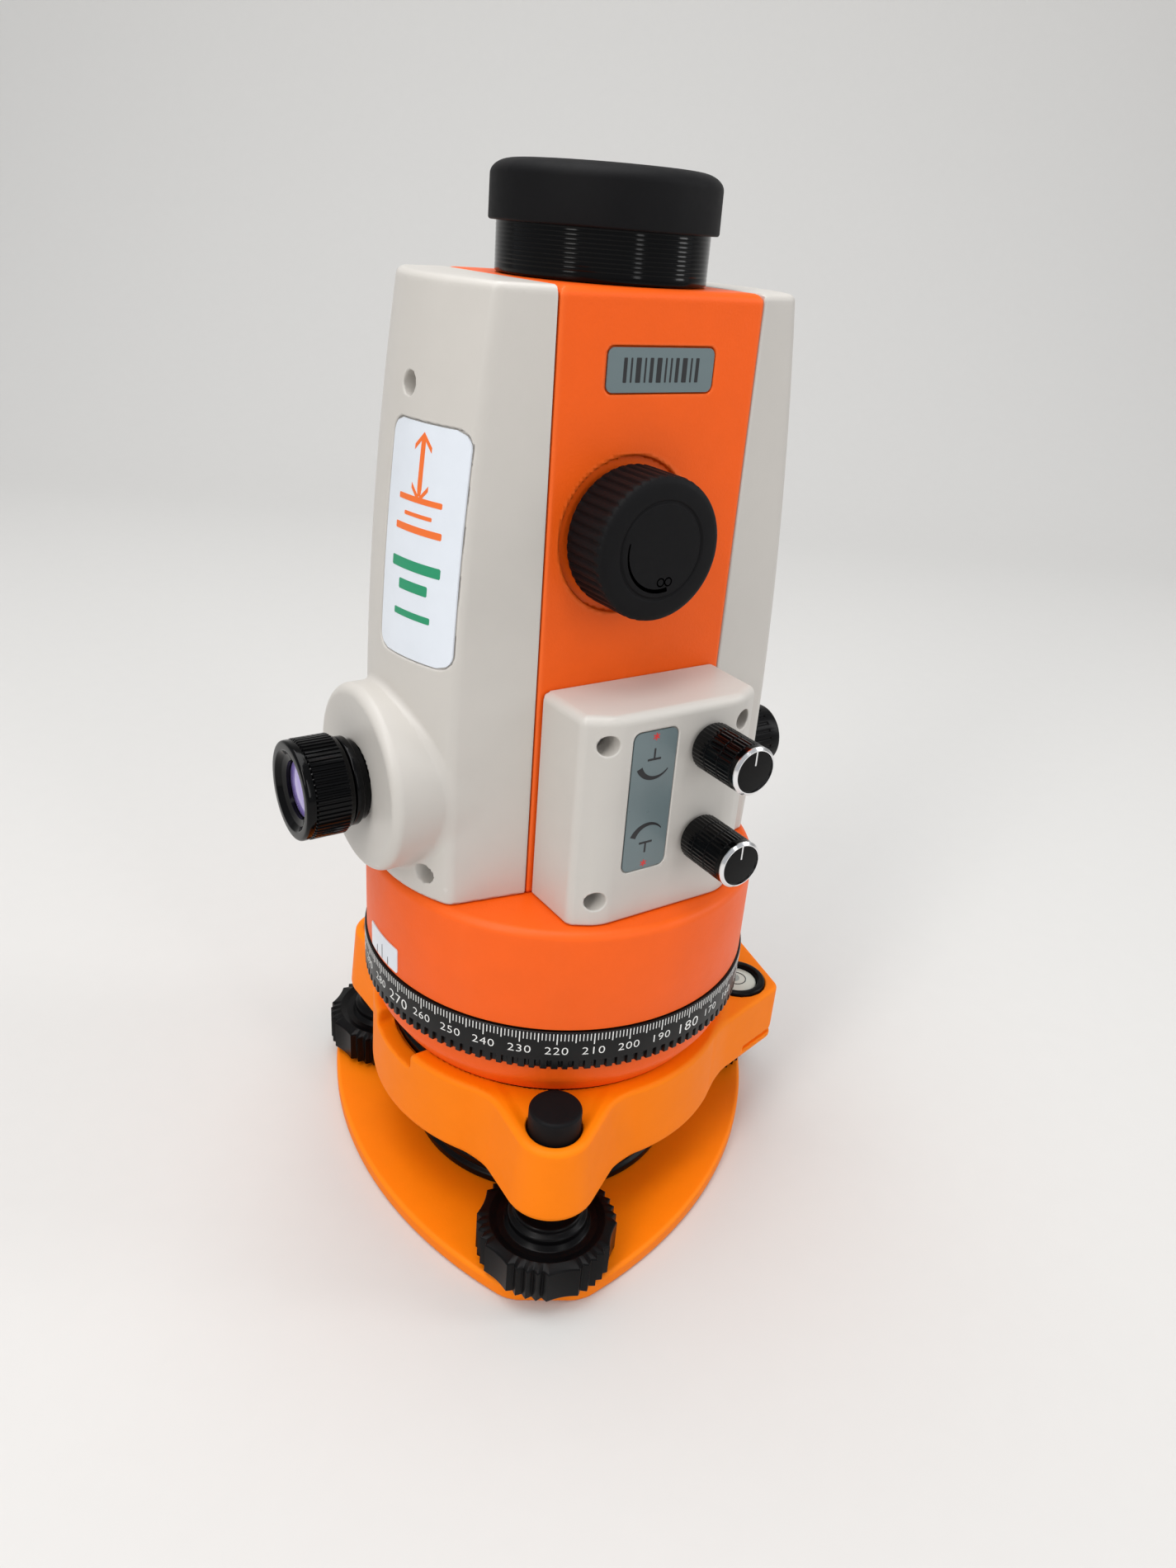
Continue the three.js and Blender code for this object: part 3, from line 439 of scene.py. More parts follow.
def base_plate():
    corner = max(BASE_HIGH[0], -BASE_LOW[0])
    tip = math.hypot(corner, BASE_CORNER_FLAT / 2)
    lean = math.degrees(math.atan(BASE_CORNER_FLAT / 2 / corner))
    arc = np.array(circle_through(
        polar(tip, lean), polar(BASE_EDGE_RADIUS, 60), polar(tip, 120 - lean), 40))
    middle_point, last = np.array(circle_through(
        polar(tip, lean), polar(BASE_EDGE_RADIUS, 60), polar(tip, 120 - lean), 2))[1:]
    centre_far = three_point_centre(arc[0], middle_point, last)
    arc_radius = np.linalg.norm(arc[0] - centre_far)

    def distance(p):
        x, y, z = p[..., 0], p[..., 1], p[..., 2]
        sides = []
        for angle in arm_directions():
            c, s = math.cos(math.radians(angle)), math.sin(math.radians(angle))
            u, v = c * x + s * y, -s * x + c * y
            sides.append(u - corner)
            sides.append(np.hypot(u - centre_far[0], v - centre_far[1]) - arc_radius)
        plan = all_of(sides, 2.0)
        slab = np.abs(z - (BASE_LOW[2] + BASE_HIGH[2]) / 2) - (BASE_HIGH[2] - BASE_LOW[2]) / 2
        plate = outer_corner(plan, slab, 1.2)
        plate = carved(plate, np.hypot(x, y) - SCREW_HOLE_RADIUS, 0.4)
        for place in SCREW_PLACES:
            bore = np.maximum(np.hypot(x - place[0], y - place[1]) - 5.0, 2.0 - z)
            plate = carved(plate, bore, 0.4)
        return plate

    finish_piece(solid("base_plate_casting", distance, BASE_LOW, BASE_HIGH, 0.9),
                 "base", "tribrach_orange", "base_plate")


def three_point_centre(a, b, c):
    matrix = 2 * np.array([b - a, c - a])
    return np.linalg.solve(matrix, [b @ b - a @ a, c @ c - a @ a])


def spring_plate():
    low, high = cad("spring_plate")
    radius = high[0]
    neck = radius - 5
    shoulder = low[2] + 7.5
    finish_piece(turned("spring_plate_boot", [
        (20, low[2]), (radius, low[2], 1), (radius, low[2] + 2.6, 0.8), (radius - 1.2, low[2] + 3.4, 0.5),
        (radius - 1.2, low[2] + 4.4, 0.5), (radius, low[2] + 5.2, 0.8), (radius, shoulder, 1.6),
        (neck, shoulder, 1.5), (neck, high[2], 1), (20, high[2], 1),
    ], closed=True), "base", "black_plastic", "spring_plate")


KNOB_GROUPS = 6
KNOB_SCALLOP = 26.0
KNOB_TEETH = 4


def knob_wave(angle, r, z):
    """Wide concave scallops between groups of sharp teeth, only at the rim."""
    period = 360 / KNOB_GROUPS
    phase = np.degrees(angle) % period
    scallop = 1.0 * (1 - ((phase - KNOB_SCALLOP / 2) / (KNOB_SCALLOP / 2)) ** 2)
    pitch = (period - KNOB_SCALLOP) / KNOB_TEETH
    tooth = 1.2 * np.abs(2 * (((phase - KNOB_SCALLOP) / pitch) % 1) - 1)
    dip = np.where(phase < KNOB_SCALLOP, scallop, 1.2 - tooth)
    share = np.clip((r - 16) / 3.0, 0, 1)
    return r - dip * share


def footscrew(number):
    place = SCREW_PLACES[number - 1]
    low, high = cad(f"footscrew_knob_{number}")
    radius = 19.4
    top = low[2] + 11.5
    at = (place[0], place[1], 0)
    knob = turned(f"footscrew_grip_{number}", [
        (4.4, low[2]), (15, low[2], 0.5), (radius, low[2] + 0.6, 0.5), (radius, top - 0.8, 0.6),
        (16, top, 0.8), (14, top - 0.8, 0.5), (12, top - 0.8, 0.6), (11, top + 0.6, 0.6),
        (11, high[2] - 2.2, 0.8), (9.6, high[2] - 1.4, 0.5), (9.6, high[2], 0.6), (4.4, high[2], 0.4),
    ], segments=720, wave=knob_wave, at=at, closed=True, sharp=25)
    finish_piece(knob, f"footscrew_{number}", "black_plastic", f"footscrew_knob_{number}")

    low, high = cad(f"footscrew_spindle_{number}")
    threads = []
    z = BASE_HIGH[2] + 1.5
    while z < high[2] - 1.5:
        threads += [(3.6, z), (4.0, z + 0.4), (4.0, z + 0.6), (3.6, z + 1.0)]
        z += 1.0
    spindle = turned(f"footscrew_stem_{number}", [
        (0, low[2]), (3.4, low[2], 1), (4.6, low[2] + 1.4, 0.8), (4.6, BASE_HIGH[2] + 0.4, 0.3),
        (4.0, BASE_HIGH[2] + 0.4), *threads, (3.4, high[2], 0.5), (0, high[2]),
    ], segments=48, at=at)
    finish_piece(spindle, f"footscrew_{number}", "steel", f"footscrew_spindle_{number}")

    low, high = cad(f"footscrew_cap_{number}")
    radius = (high[0] - low[0]) / 2
    cap = turned(f"arm_cap_{number}", [
        (0, low[2]), (radius, low[2], 0.5), (radius - 0.15, high[2], 0.9), (radius - 2.2, high[2] - 0.05, 0.3),
        (0, high[2] - 0.15),
    ], segments=96, at=at)
    finish_piece(cap, "tribrach", "black_rubber", f"footscrew_cap_{number}")


ARM = {
    "root": 40.0, "root_half": 22.5, "tip": 60.3, "tip_half": 13.0, "draft": 0.085, "web": 3.5,
    "top_fall": 0.08, "fall_from": 51.0, "rim": 3.0, "floor_fall": 0.165, "floor_from": 50.0,
}
LOBE_SIDE = (0.236, -0.972, 48.8)
LOBE_OUTER = (0.977, -0.212, 70.3)
LOBE_BOTTOM = 31.0
DISC_RADIUS = 54.2
CAP_HOLE = {"radius": 7.6, "floor": 40.5}
SPINDLE_BORE = 4.4
BODY_BORE = 24.2
TRENCH = {"radius": 46.15, "half": 2.15, "floor": 45.2}
NOTCH = {"angle": -179, "half": 11, "inner": 47.2, "floor": 46.4}
STUD_HOLE = 5.4
LOCK_PAD = {"radius": 12.5, "inner": 50, "bore": 4.7, "bore_end": 48.9}


def arm_plan(u, v):
    """Distance to an arm's outline: a wide circle and a narrow one with their common tangents."""
    span = ARM["tip"] - ARM["root"]
    lean = (ARM["root_half"] - ARM["tip_half"]) / span
    rise = math.sqrt(1 - lean**2)
    side, along = np.abs(v), u - ARM["root"]
    share = rise * along - lean * side
    flank = rise * side + lean * along - ARM["root_half"]
    flank = np.where(share < 0, np.hypot(side, along) - ARM["root_half"], flank)
    return np.where(share > rise * span, np.hypot(side, along - span) - ARM["tip_half"], flank)


def level_lobe(x, y, z, top):
    """The corner of the casting that holds the circular level."""
    side = LOBE_SIDE[0] * x + LOBE_SIDE[1] * y - LOBE_SIDE[2]
    outer = LOBE_OUTER[0] * x + LOBE_OUTER[1] * y - LOBE_OUTER[2]
    lobe = all_of([side, outer, y - 4, 30 - x], 2.4)
    lobe = outer_corner(lobe, z - top, 1.2)
    lobe = outer_corner(lobe, LOBE_BOTTOM - z, 1.2)
    groove = np.maximum(np.abs(z - LOBE_BOTTOM - 3.0) - 1.0, np.abs(side) - 1.5)
    groove = np.maximum(groove, 49 - x)
    return carved(lobe, groove, 0.4)


def tribrach_distance(p):
    x, y, z = p[..., 0], p[..., 1], p[..., 2]
    height = z - BODY_LOW[2]
    plan = np.hypot(x, y) - DISC_RADIUS + 0.02 * height
    reach = np.full(x.shape, -1e3)
    inside_arm = np.full(x.shape, 1e3)
    for angle in arm_directions():
        c, s = math.cos(math.radians(angle)), math.sin(math.radians(angle))
        u, v = c * x + s * y, -s * x + c * y
        arm = arm_plan(u, v) + ARM["draft"] * height
        reach = np.maximum(reach, u)
        inside_arm = np.minimum(inside_arm, arm)
        plan = inner_corner(plan, arm, ARM["web"])
    top_z = BODY_HIGH[2] - ARM["top_fall"] * np.maximum(reach - ARM["fall_from"], 0)
    body = outer_corner(plan, (z - top_z) * 0.97, 1.4)
    body = outer_corner(body, BODY_LOW[2] - z, 2.5)
    floor_z = BODY_HIGH[2] - ARM["floor_fall"] * (reach - ARM["floor_from"])
    hollow = outer_corner(inside_arm + ARM["rim"], (floor_z - z) * 0.94, 2.8)
    body = carved(body, hollow, 1.5)

    bubble = middle("circular_level_seat")
    bubble_low, bubble_high = cad("circular_level_seat")
    body = inner_corner(body, level_lobe(x, y, z, bubble_high[2] - 0.9), 3.0)
    seat = np.hypot(x - bubble[0], y - bubble[1]) - (bubble_high[0] - bubble_low[0]) / 2 - 0.2
    body = carved(body, np.maximum(seat, bubble_low[2] - 0.3 - z), 0.35)

    for place in SCREW_PLACES:
        away = np.hypot(x - place[0], y - place[1])
        body = carved(body, np.maximum(away - CAP_HOLE["radius"], CAP_HOLE["floor"] - z), 0.35)
        body = carved(body, np.maximum(away - SPINDLE_BORE, z - CAP_HOLE["floor"] - 0.3), 0.4)
    around_axis = np.hypot(x, y)
    body = carved(body, around_axis - BODY_BORE, 0.5)
    trench = np.maximum(np.abs(around_axis - TRENCH["radius"]) - TRENCH["half"], TRENCH["floor"] - z)
    body = carved(body, trench, 0.3)
    notch_angle = math.radians(NOTCH["angle"])
    u = math.cos(notch_angle) * x + math.sin(notch_angle) * y
    v = -math.sin(notch_angle) * x + math.cos(notch_angle) * y
    notch = outer_corner(NOTCH["inner"] - u, np.abs(v + 1) - NOTCH["half"], 0.8)
    notch = outer_corner(notch, NOTCH["floor"] - z, 1.0)
    body = carved(body, notch, 0.8)
    for number in (1, 2, 3):
        stud = middle(f"locking_stud_{number}")
        stud_end = cad(f"locking_stud_{number}")[0][2]
        hole = np.maximum(np.hypot(x - stud[0], y - stud[1]) - STUD_HOLE, stud_end - 1 - z)
        body = carved(body, hole, 0.4)
    lock = middle("swivel_lock_knob")
    c, s = np.array(lock[:2]) / math.hypot(lock[0], lock[1])
    v = np.hypot(-s * x + c * y, z - lock[2])
    u = c * x + s * y
    pad = outer_corner(outer_corner(v - LOCK_PAD["radius"], u - DISC_RADIUS, 1.0), LOCK_PAD["inner"] - u, 1.0)
    pad = outer_corner(pad, BODY_LOW[2] + 0.4 - z, 0.8)
    body = np.minimum(body, pad)
    return carved(body, np.maximum(v - LOCK_PAD["bore"], LOCK_PAD["bore_end"] - u), 0.3)


def tribrach_body():
    low = (-72, -78, BODY_LOW[2])
    high = (80, 78, BODY_HIGH[2])
    place = SCREW_PLACES[0]
    fine = (around([place[0]], 9, 0.5), around([place[1]], 9, 0.5), [(43, 53, 0.5)])
    finish_piece(solid("tribrach_casting", tribrach_distance, low, high, 0.8, fine),
                 "tribrach", "tribrach_orange", "tribrach_body")
    low, high = cad("clamp_ring")
    finish_piece(turned("clamp_ring_turned", [
        (high[0] - 3.7, low[2]), (high[0], low[2], 0.4), (high[0], high[2] - 3, 0.2), (high[0] - 0.6, high[2] - 2.6),
        (high[0] - 0.6, high[2] - 1.6), (high[0], high[2] - 1.2), (high[0], high[2], 0.5),
        (high[0] - 3.7, high[2], 0.5),
    ], segments=160, closed=True), "clamp_ring", "black_metal", "clamp_ring")


def lock_knob():
    """The lever-topped knob on the side of the tribrach, turned about a level radial axis."""
    place = middle("swivel_lock_knob")
    direction = math.atan2(place[1], place[0])
    c, s = math.cos(direction), math.sin(direction)
    face = DISC_RADIUS + 0.3

    def distance(p):
        x, y, z = p[..., 0], p[..., 1], p[..., 2] - place[2]
        u, v = c * x + s * y, -s * x + c * y
        angle = np.arctan2(z, v)
        ribs = 0.35 * np.cos(20 * angle)
        away = np.hypot(v, z)
        knob = outer_corner(outer_corner(away - 8.6 - ribs, face + 0.6 - u, 0.8), u - face - 12.5, 1.5)
        stem = np.maximum(np.maximum(away - 4.1, 49.8 - u), u - face - 3)
        grip = outer_corner(outer_corner(np.abs(v) - 2.2, np.abs(z) - 8.6, 1.2),
                            np.abs(u - face - 13.5) - 2.4, 1.2)
        return inner_corner(np.minimum(knob, stem), grip, 1.0)

    low, high = cad("swivel_lock_knob")
    finish_piece(solid("swivel_lock_handle", distance, low, high, 0.55),
                 "lock_knob", "black_plastic", "swivel_lock_knob")


def circular_level():
    place = middle("circular_level_seat")
    low, high = cad("circular_level_seat")
    radius = (high[0] - low[0]) / 2
    at = (place[0], place[1], 0)
    finish_piece(turned("level_rim", [
        (0, low[2]), (radius, low[2], 0.4), (radius, high[2], 0.9), (radius - 2.2, high[2], 0.7),
        (radius - 2.5, high[2] - 2.2, 0.3), (radius - 2.5, low[2] + 2), (0, low[2] + 2),
    ], segments=96, at=at), "tribrach", "black_plastic", "circular_level_seat")
    vial = radius - 2.7
    finish_piece(turned("level_glass", [
        (0, low[2] + 2.3), (vial, low[2] + 2.3, 0.3), (vial, high[2] - 1.2, 0.6), (vial * 0.5, high[2] - 0.75),
        (0, high[2] - 0.6),
    ], segments=96, at=at, sharp=60), "tribrach", "level_liquid", "circular_level_vial")
    ring_z = high[2] - 0.78
    finish_piece(turned("level_circle", [
        (3.0, ring_z), (3.25, ring_z), (3.25, ring_z + 0.16), (3.0, ring_z + 0.16),
    ], segments=64, at=at, closed=True), "tribrach", "black_mark")
    bubble_at = (place[0] - 0.4, place[1] + 0.5, 0)
    finish_piece(turned("level_bubble", [
        (0, ring_z), (2.0, ring_z), (2.0, ring_z + 0.1, 0.1), (1.2, ring_z + 0.2, 0.2), (0, ring_z + 0.24),
    ], segments=48, at=bubble_at), "tribrach", "glass")


# ---------------------------------------------------------------- instrument foot and circle
def lower_flange():
    radius = FLANGE_HIGH[0]
    low, high = FLANGE_LOW[2], FLANGE_HIGH[2]
    rim = RING_LOW[2] - 0.3
    finish_piece(turned("foot_flange", [
        (12, low), (radius - 4.2, low, 1.2), (radius, low + 6.5, 5.0), (radius, rim, 0.5), (45.6, rim),
        (45.6, high, 0.3), (41.6, high, 0.3), (41.6, rim - 3), (14.3, rim - 3), (14.3, low + 3), (12, low + 3),
    ], segments=180, closed=True), "tribrach", "body_orange", "lower_flange")


RING_SLOTS = 120
LABEL_ZERO_ANGLE = 459.4


def ring_wave(angle, r, z):
    """Short grip slots along the ring's lower edge."""
    phase = (angle * RING_SLOTS / (2 * math.pi)) % 1
    depth = np.where(phase < 0.34, 1.0, 0.0) * (0.85 if z < RING_LOW[2] + 2.9 else 0.0)
    return r - depth if r > RING_HIGH[0] - 0.6 else np.full_like(angle, r)


def on_circle(points, radius):
    """Wraps flat x (arc length, to the right), y (height) and depth round the ring's outside."""
    angle = points[:, 0] / radius
    away = radius + points[:, 2]
    return np.stack([away * np.cos(angle), away * np.sin(angle), points[:, 1]], 1)


def graduated_ring():
    low, high = RING_LOW[2], RING_HIGH[2]
    radius = RING_HIGH[0]
    inner = FLANGE_HIGH[0] - 7.2
    finish_piece(turned("circle_ring", [
        (inner, low), (radius, low, 0.4), (radius, low + 2.8), (radius, low + 3.0), (radius, high, 0.4),
        (inner, high),
    ], segments=RING_SLOTS * 9, wave=ring_wave, closed=True, sharp=30),
        "graduated_ring", "circle_black", "graduated_ring")

    verts = []
    faces = []
    for degree in range(360):
        long_tick = degree % 5 == 0
        half = 0.14 if long_tick else 0.11
        bottom = high - (3.7 if degree % 10 == 0 else 3.1 if long_tick else 2.5)
        centre = math.radians(LABEL_ZERO_ANGLE - degree) * radius
        start = len(verts)
        for depth in (-0.08, 0.04):
            verts += [(centre - half, bottom, depth), (centre + half, bottom, depth),
                      (centre + half, high - 0.35, depth), (centre - half, high - 0.35, depth)]
        for face in ((3, 2, 1, 0), (4, 5, 6, 7), (0, 1, 5, 4), (1, 2, 6, 5), (2, 3, 7, 6), (3, 0, 4, 7)):
            faces.append(tuple(start + i for i in face))
    ticks = make("circle_ticks", on_circle(np.array(verts), radius), faces)
    finish_piece(ticks, "graduated_ring", "white_mark")

    numbers = []
    for degree in range(0, 360, 10):
        size = 4.5 if degree % 90 == 0 else 3.4
        numbers.append(numeral(degree, size, LABEL_ZERO_ANGLE - degree, high - 4.5 - size * 0.72, radius))
    finish_piece(joined("circle_numbers", numbers), "graduated_ring", "white_mark")


def numeral(value, size, degrees, base_z, radius):
    """A dial number as thin raised solids wrapped round the ring."""
    curve = bpy.data.curves.new(f"number_{value}", "FONT")
    curve.body = str(value)
    curve.size = size
    curve.align_x = "CENTER"
    curve.extrude = 0.06
    curve.offset = -0.035
    curve.resolution_u = 3
    curve.space_character = 1.08
    text = bpy.data.objects.new(f"number_{value}", curve)
    bpy.context.collection.objects.link(text)
    bpy.context.view_layer.update()
    mesh = bpy.data.meshes.new_from_object(text.evaluated_get(bpy.context.evaluated_depsgraph_get()))
    bpy.data.objects.remove(text)
    count = len(mesh.vertices)
    flat = np.zeros(count * 3)
    mesh.vertices.foreach_get("co", flat)
    flat = flat.reshape(-1, 3)
    flat[:, 0] = flat[:, 0] * 1.2 + math.radians(degrees) * radius
    flat[:, 1] += base_z
    flat[:, 2] -= 0.02
    placed = on_circle(flat, radius) * MM + AXIS_XY
    mesh.vertices.foreach_set("co", placed.ravel())
    mesh.update()
    obj = bpy.data.objects.new(f"number_{value}", mesh)
    bpy.context.collection.objects.link(obj)
    return obj


# ---------------------------------------------------------------- drum and housing
def drum():
    radius = DRUM_HIGH[0]
    low, high = DRUM_LOW[2], DRUM_HIGH[2]
    finish_piece(turned("drum_casting", [
        (18, low + 2), (18, high - 3), (radius - 3, high - 3), (radius - 3, low, 0.3), (radius, low, 0.4),
        (radius, high, 2.4), (0, high),
    ], segments=180), "alidade", "body_orange", "drum")


SERIAL = middle("serial_plate")
FOCUS = middle("focus_knob")
PLATE_DEPTH = 0.8


def main_housing():
    low, high = HOUSING_LOW, HOUSING_HIGH
    plate_low, plate_high = cad("serial_plate")

    def distance(p):
        x, y, z = p[..., 0], p[..., 1], p[..., 2]
        body = outer_corner(np.abs(x) - high[0], np.abs(y) - high[1], 0.5)
        body = outer_corner(body, z - high[2], 2.2)
        body = outer_corner(body, low[2] - z, 0.5)
        front = -y - high[1]
        away = np.hypot(x - FOCUS[0], z - FOCUS[2])
        body = carved(body, np.maximum(away - 18.3, -front - 1.3), 0.45)
        recess = box_2d(x, z, (plate_low[0] - 0.35, plate_low[2] - 0.35),
                        (plate_high[0] + 0.35, plate_high[2] + 0.35), 1.8)
        return carved(body, np.maximum(recess, -front - PLATE_DEPTH), 0.3)

    fine = (
        around((plate_low[0], plate_high[0]), 1.5, 0.4),
        [(low[1] - 1, low[1] + 2.2, 0.45)],
        around((plate_low[2], plate_high[2]), 1.5, 0.4) + [(high[2] - 3, high[2] + 1, 0.5)],
    )
    finish_piece(solid("housing_casting", distance, low, high, 0.9, fine),
                 "alidade", "body_orange", "main_housing")


def serial_plate():
    low, high = cad("serial_plate")
    outline = rounded_rectangle(high[0] - low[0], high[2] - low[2], 1.6, (SERIAL[0], SERIAL[2]))
    finish_piece(prism("serial_foil", outline, 0.42, "front", (0, high[1], 0)),
                 "alidade", "label_grey", "serial_plate")
    bars = []
    widths = (0.9, 0.45, 1.3, 0.45, 0.9, 1.3, 0.45, 0.45, 0.9, 1.3, 0.45, 0.9)
    x = low[0] + 4.2
    gap = (high[0] - low[0] - 8.4 - sum(widths)) / (len(widths) - 1)
    for number, width in enumerate(widths):
        bar = rounded_rectangle(width, 5.2, 0.15, (x + width / 2, SERIAL[2]), 2)
        bars.append(prism(f"serial_bar_{number}", bar, 0.05, "front", (0, high[1] - 0.42, 0)))
        x += width + gap
    finish_piece(joined("serial_bars", bars), "alidade", "black_mark")


# ---------------------------------------------------------------- side covers
COVER_WIDEST_Z = 135.0
COVER_WIDEST = 48.4
COVER_TOP = 39.8
COVER_CORNER_Y = 23.8
COVER_BULGE = 7.1
COVER_SIDE_RADIUS = (COVER_CORNER_Y**2 + COVER_BULGE**2) / (2 * COVER_BULGE)
SCREW_POCKET = 2.6
SIDE_LABEL_LOW, SIDE_LABEL_HIGH = cad("side_label")
BOSS_CORNER = 2.6


def cover_half(z):
    drop = (COVER_WIDEST - COVER_TOP) / (HOUSING_HIGH[2] - COVER_WIDEST_Z) ** 2
    return COVER_WIDEST - drop * (z - COVER_WIDEST_Z) ** 2


def cover_face(y, z):
    """How far out the cover's side face lies."""
    return cover_half(z) + COVER_BULGE - COVER_SIDE_RADIUS + np.sqrt(
        np.maximum(COVER_SIDE_RADIUS**2 - y**2, 1.0))


def cover_distance(u, y, z):
    slope = np.sqrt(np.maximum(COVER_SIDE_RADIUS**2 - y**2, 1.0)) / COVER_SIDE_RADIUS
    side = (u - cover_face(y, z)) * np.minimum(slope, 1)
    fall = (HOUSING_HIGH[1] - COVER_CORNER_Y) / (cover_half(z) - SEAM)
    strip = (np.abs(y) - HOUSING_HIGH[1] + fall * (u - SEAM)) * 0.985
    shape = outer_corner(side, strip, 1.3)
    shape = outer_corner(shape, z - HOUSING_HIGH[2], 1.6)
    shape = outer_corner(shape, HOUSING_LOW[2] - z, 0.5)
    return outer_corner(shape, SEAM + 0.3 - u, 0.35)


def screw_pockets(shape, u, y, z, side):
    for name in ("upper", "lower_front", "lower_rear"):
        spot = middle(f"{side}_cover_screw_{name}")
        away = np.hypot(y - spot[1], z - spot[2])
        floor = cover_face(spot[1], spot[2]) - 7
        shape = carved(shape, np.maximum(away - SCREW_POCKET, floor - u), 0.35)
        shape = carved(shape, away - 1.7, 0.2)
    return shape


def cover_fine(side, label):
    """Closer grid planes through the screw pockets and along the label's edges."""
    spots = [middle(f"{side}_cover_screw_{name}") for name in ("upper", "lower_front", "lower_rear")]
    fine_y = around([spot[1] for spot in spots], 3.2, 0.4)
    fine_z = around([spot[2] for spot in spots], 3.2, 0.4)
    if label:
        fine_y += around((SIDE_LABEL_LOW[1] + 0.6, SIDE_LABEL_HIGH[1] - 0.6), 1.8, 0.35)
        fine_z += around((SIDE_LABEL_LOW[2] + 1.2, SIDE_LABEL_HIGH[2] - 1.2), 2.4, 0.35)
    return [], fine_y, fine_z


def left_cover():
    low, high = cad("left_cover")
    boss_radius = 24.0

    def distance(p):
        u, y, z = -p[..., 0], p[..., 1], p[..., 2]
        shape = cover_distance(u, y, z)
        away = np.hypot(y, z - EYE[2])
        boss = outer_corner(outer_corner(away - boss_radius, u + low[0], BOSS_CORNER), 40 - u, 0.5)
        shape = inner_corner(shape, boss, 1.6)
        shape = carved(shape, away - 9.5, 0.4)
        window = box_2d(y, z, (SIDE_LABEL_LOW[1] - 0.3, SIDE_LABEL_LOW[2] - 0.3),
                        (SIDE_LABEL_HIGH[1] + 0.3, SIDE_LABEL_HIGH[2] + 0.3), 4.0)
        recess = np.maximum(window, cover_face(y, z) - PLATE_DEPTH - u)
        shape = carved(shape, recess, 0.4)
        return screw_pockets(shape, u, y, z, "left")

    finish_piece(solid("left_cover_moulding", distance, low, high, 0.85, cover_fine("left", True)),
                 "alidade", "warm_grey", "left_cover")


def right_cover():
    low, high = cad("right_cover")
    centre_z = middle("battery_cap")[2]
    pack_low, pack_high = cad("battery_pack")
    well = (pack_high[1] - pack_low[1]) / 2 + 0.4

    def distance(p):
        u, y, z = p[..., 0], p[..., 1], p[..., 2]
        shape = cover_distance(u, y, z)
        away = np.hypot(y, z - centre_z)
        boss = outer_corner(outer_corner(away - 13.5, u - high[0], 2.0), 40 - u, 0.5)
        shape = inner_corner(shape, boss, 1.6)
        shape = carved(shape, away - well, 0.5)
        return screw_pockets(shape, u, y, z, "right")

    finish_piece(solid("right_cover_moulding", distance, low, high, 0.85, cover_fine("right", False)),
                 "alidade", "warm_grey", "right_cover")


def sheet(name, spot, rows, columns, thickness):
    """A thin closed sheet: spot(s, t, lift) gives points for s and t from 0 to 1."""
    s, t = np.meshgrid(np.linspace(0, 1, columns), np.linspace(0, 1, rows))
    front = spot(s.ravel(), t.ravel(), thickness)
    back = spot(s.ravel(), t.ravel(), 0.0)
    count = rows * columns
    faces = []
    for i in range(rows - 1):
        for j in range(columns - 1):
            a = i * columns + j
            b, c, d = a + 1, a + columns + 1, a + columns
            faces.append((a, b, c, d))
            faces.append((count + d, count + c, count + b, count + a))
    rim = list(range(columns))
    rim += [i * columns + columns - 1 for i in range(1, rows)]
    rim += [(rows - 1) * columns + j for j in range(columns - 2, -1, -1)]
    rim += [i * columns for i in range(rows - 2, 0, -1)]
    for a, b in zip(rim, rim[1:] + rim[:1]):
        faces.append((b, a, count + a, count + b))
    return make(name, np.concatenate([front, back]), faces, sharp=40)


def rounded_spot(low, high, radius, surface):
    """Maps s and t onto a rounded rectangle in (a, b), then through surface(a, b, lift)."""
    def spot(s, t, lift):
        b = low[1] + (high[1] - low[1]) * t
        nearest = np.minimum(b - low[1], high[1] - b)
        inset = np.where(nearest < radius,
                         radius - np.sqrt(np.maximum(radius**2 - (radius - nearest)**2, 0)), 0)
        a = low[0] + inset + (high[0] - low[0] - 2 * inset) * s
        return surface(a, b, lift)
    return spot


def left_face(y, z, lift):
    """A point on the left cover's label recess, lifted outwards; y runs towards the rear."""
    u = cover_face(y, z) - 0.55 + lift
    return np.stack([-u, y, z], 1)


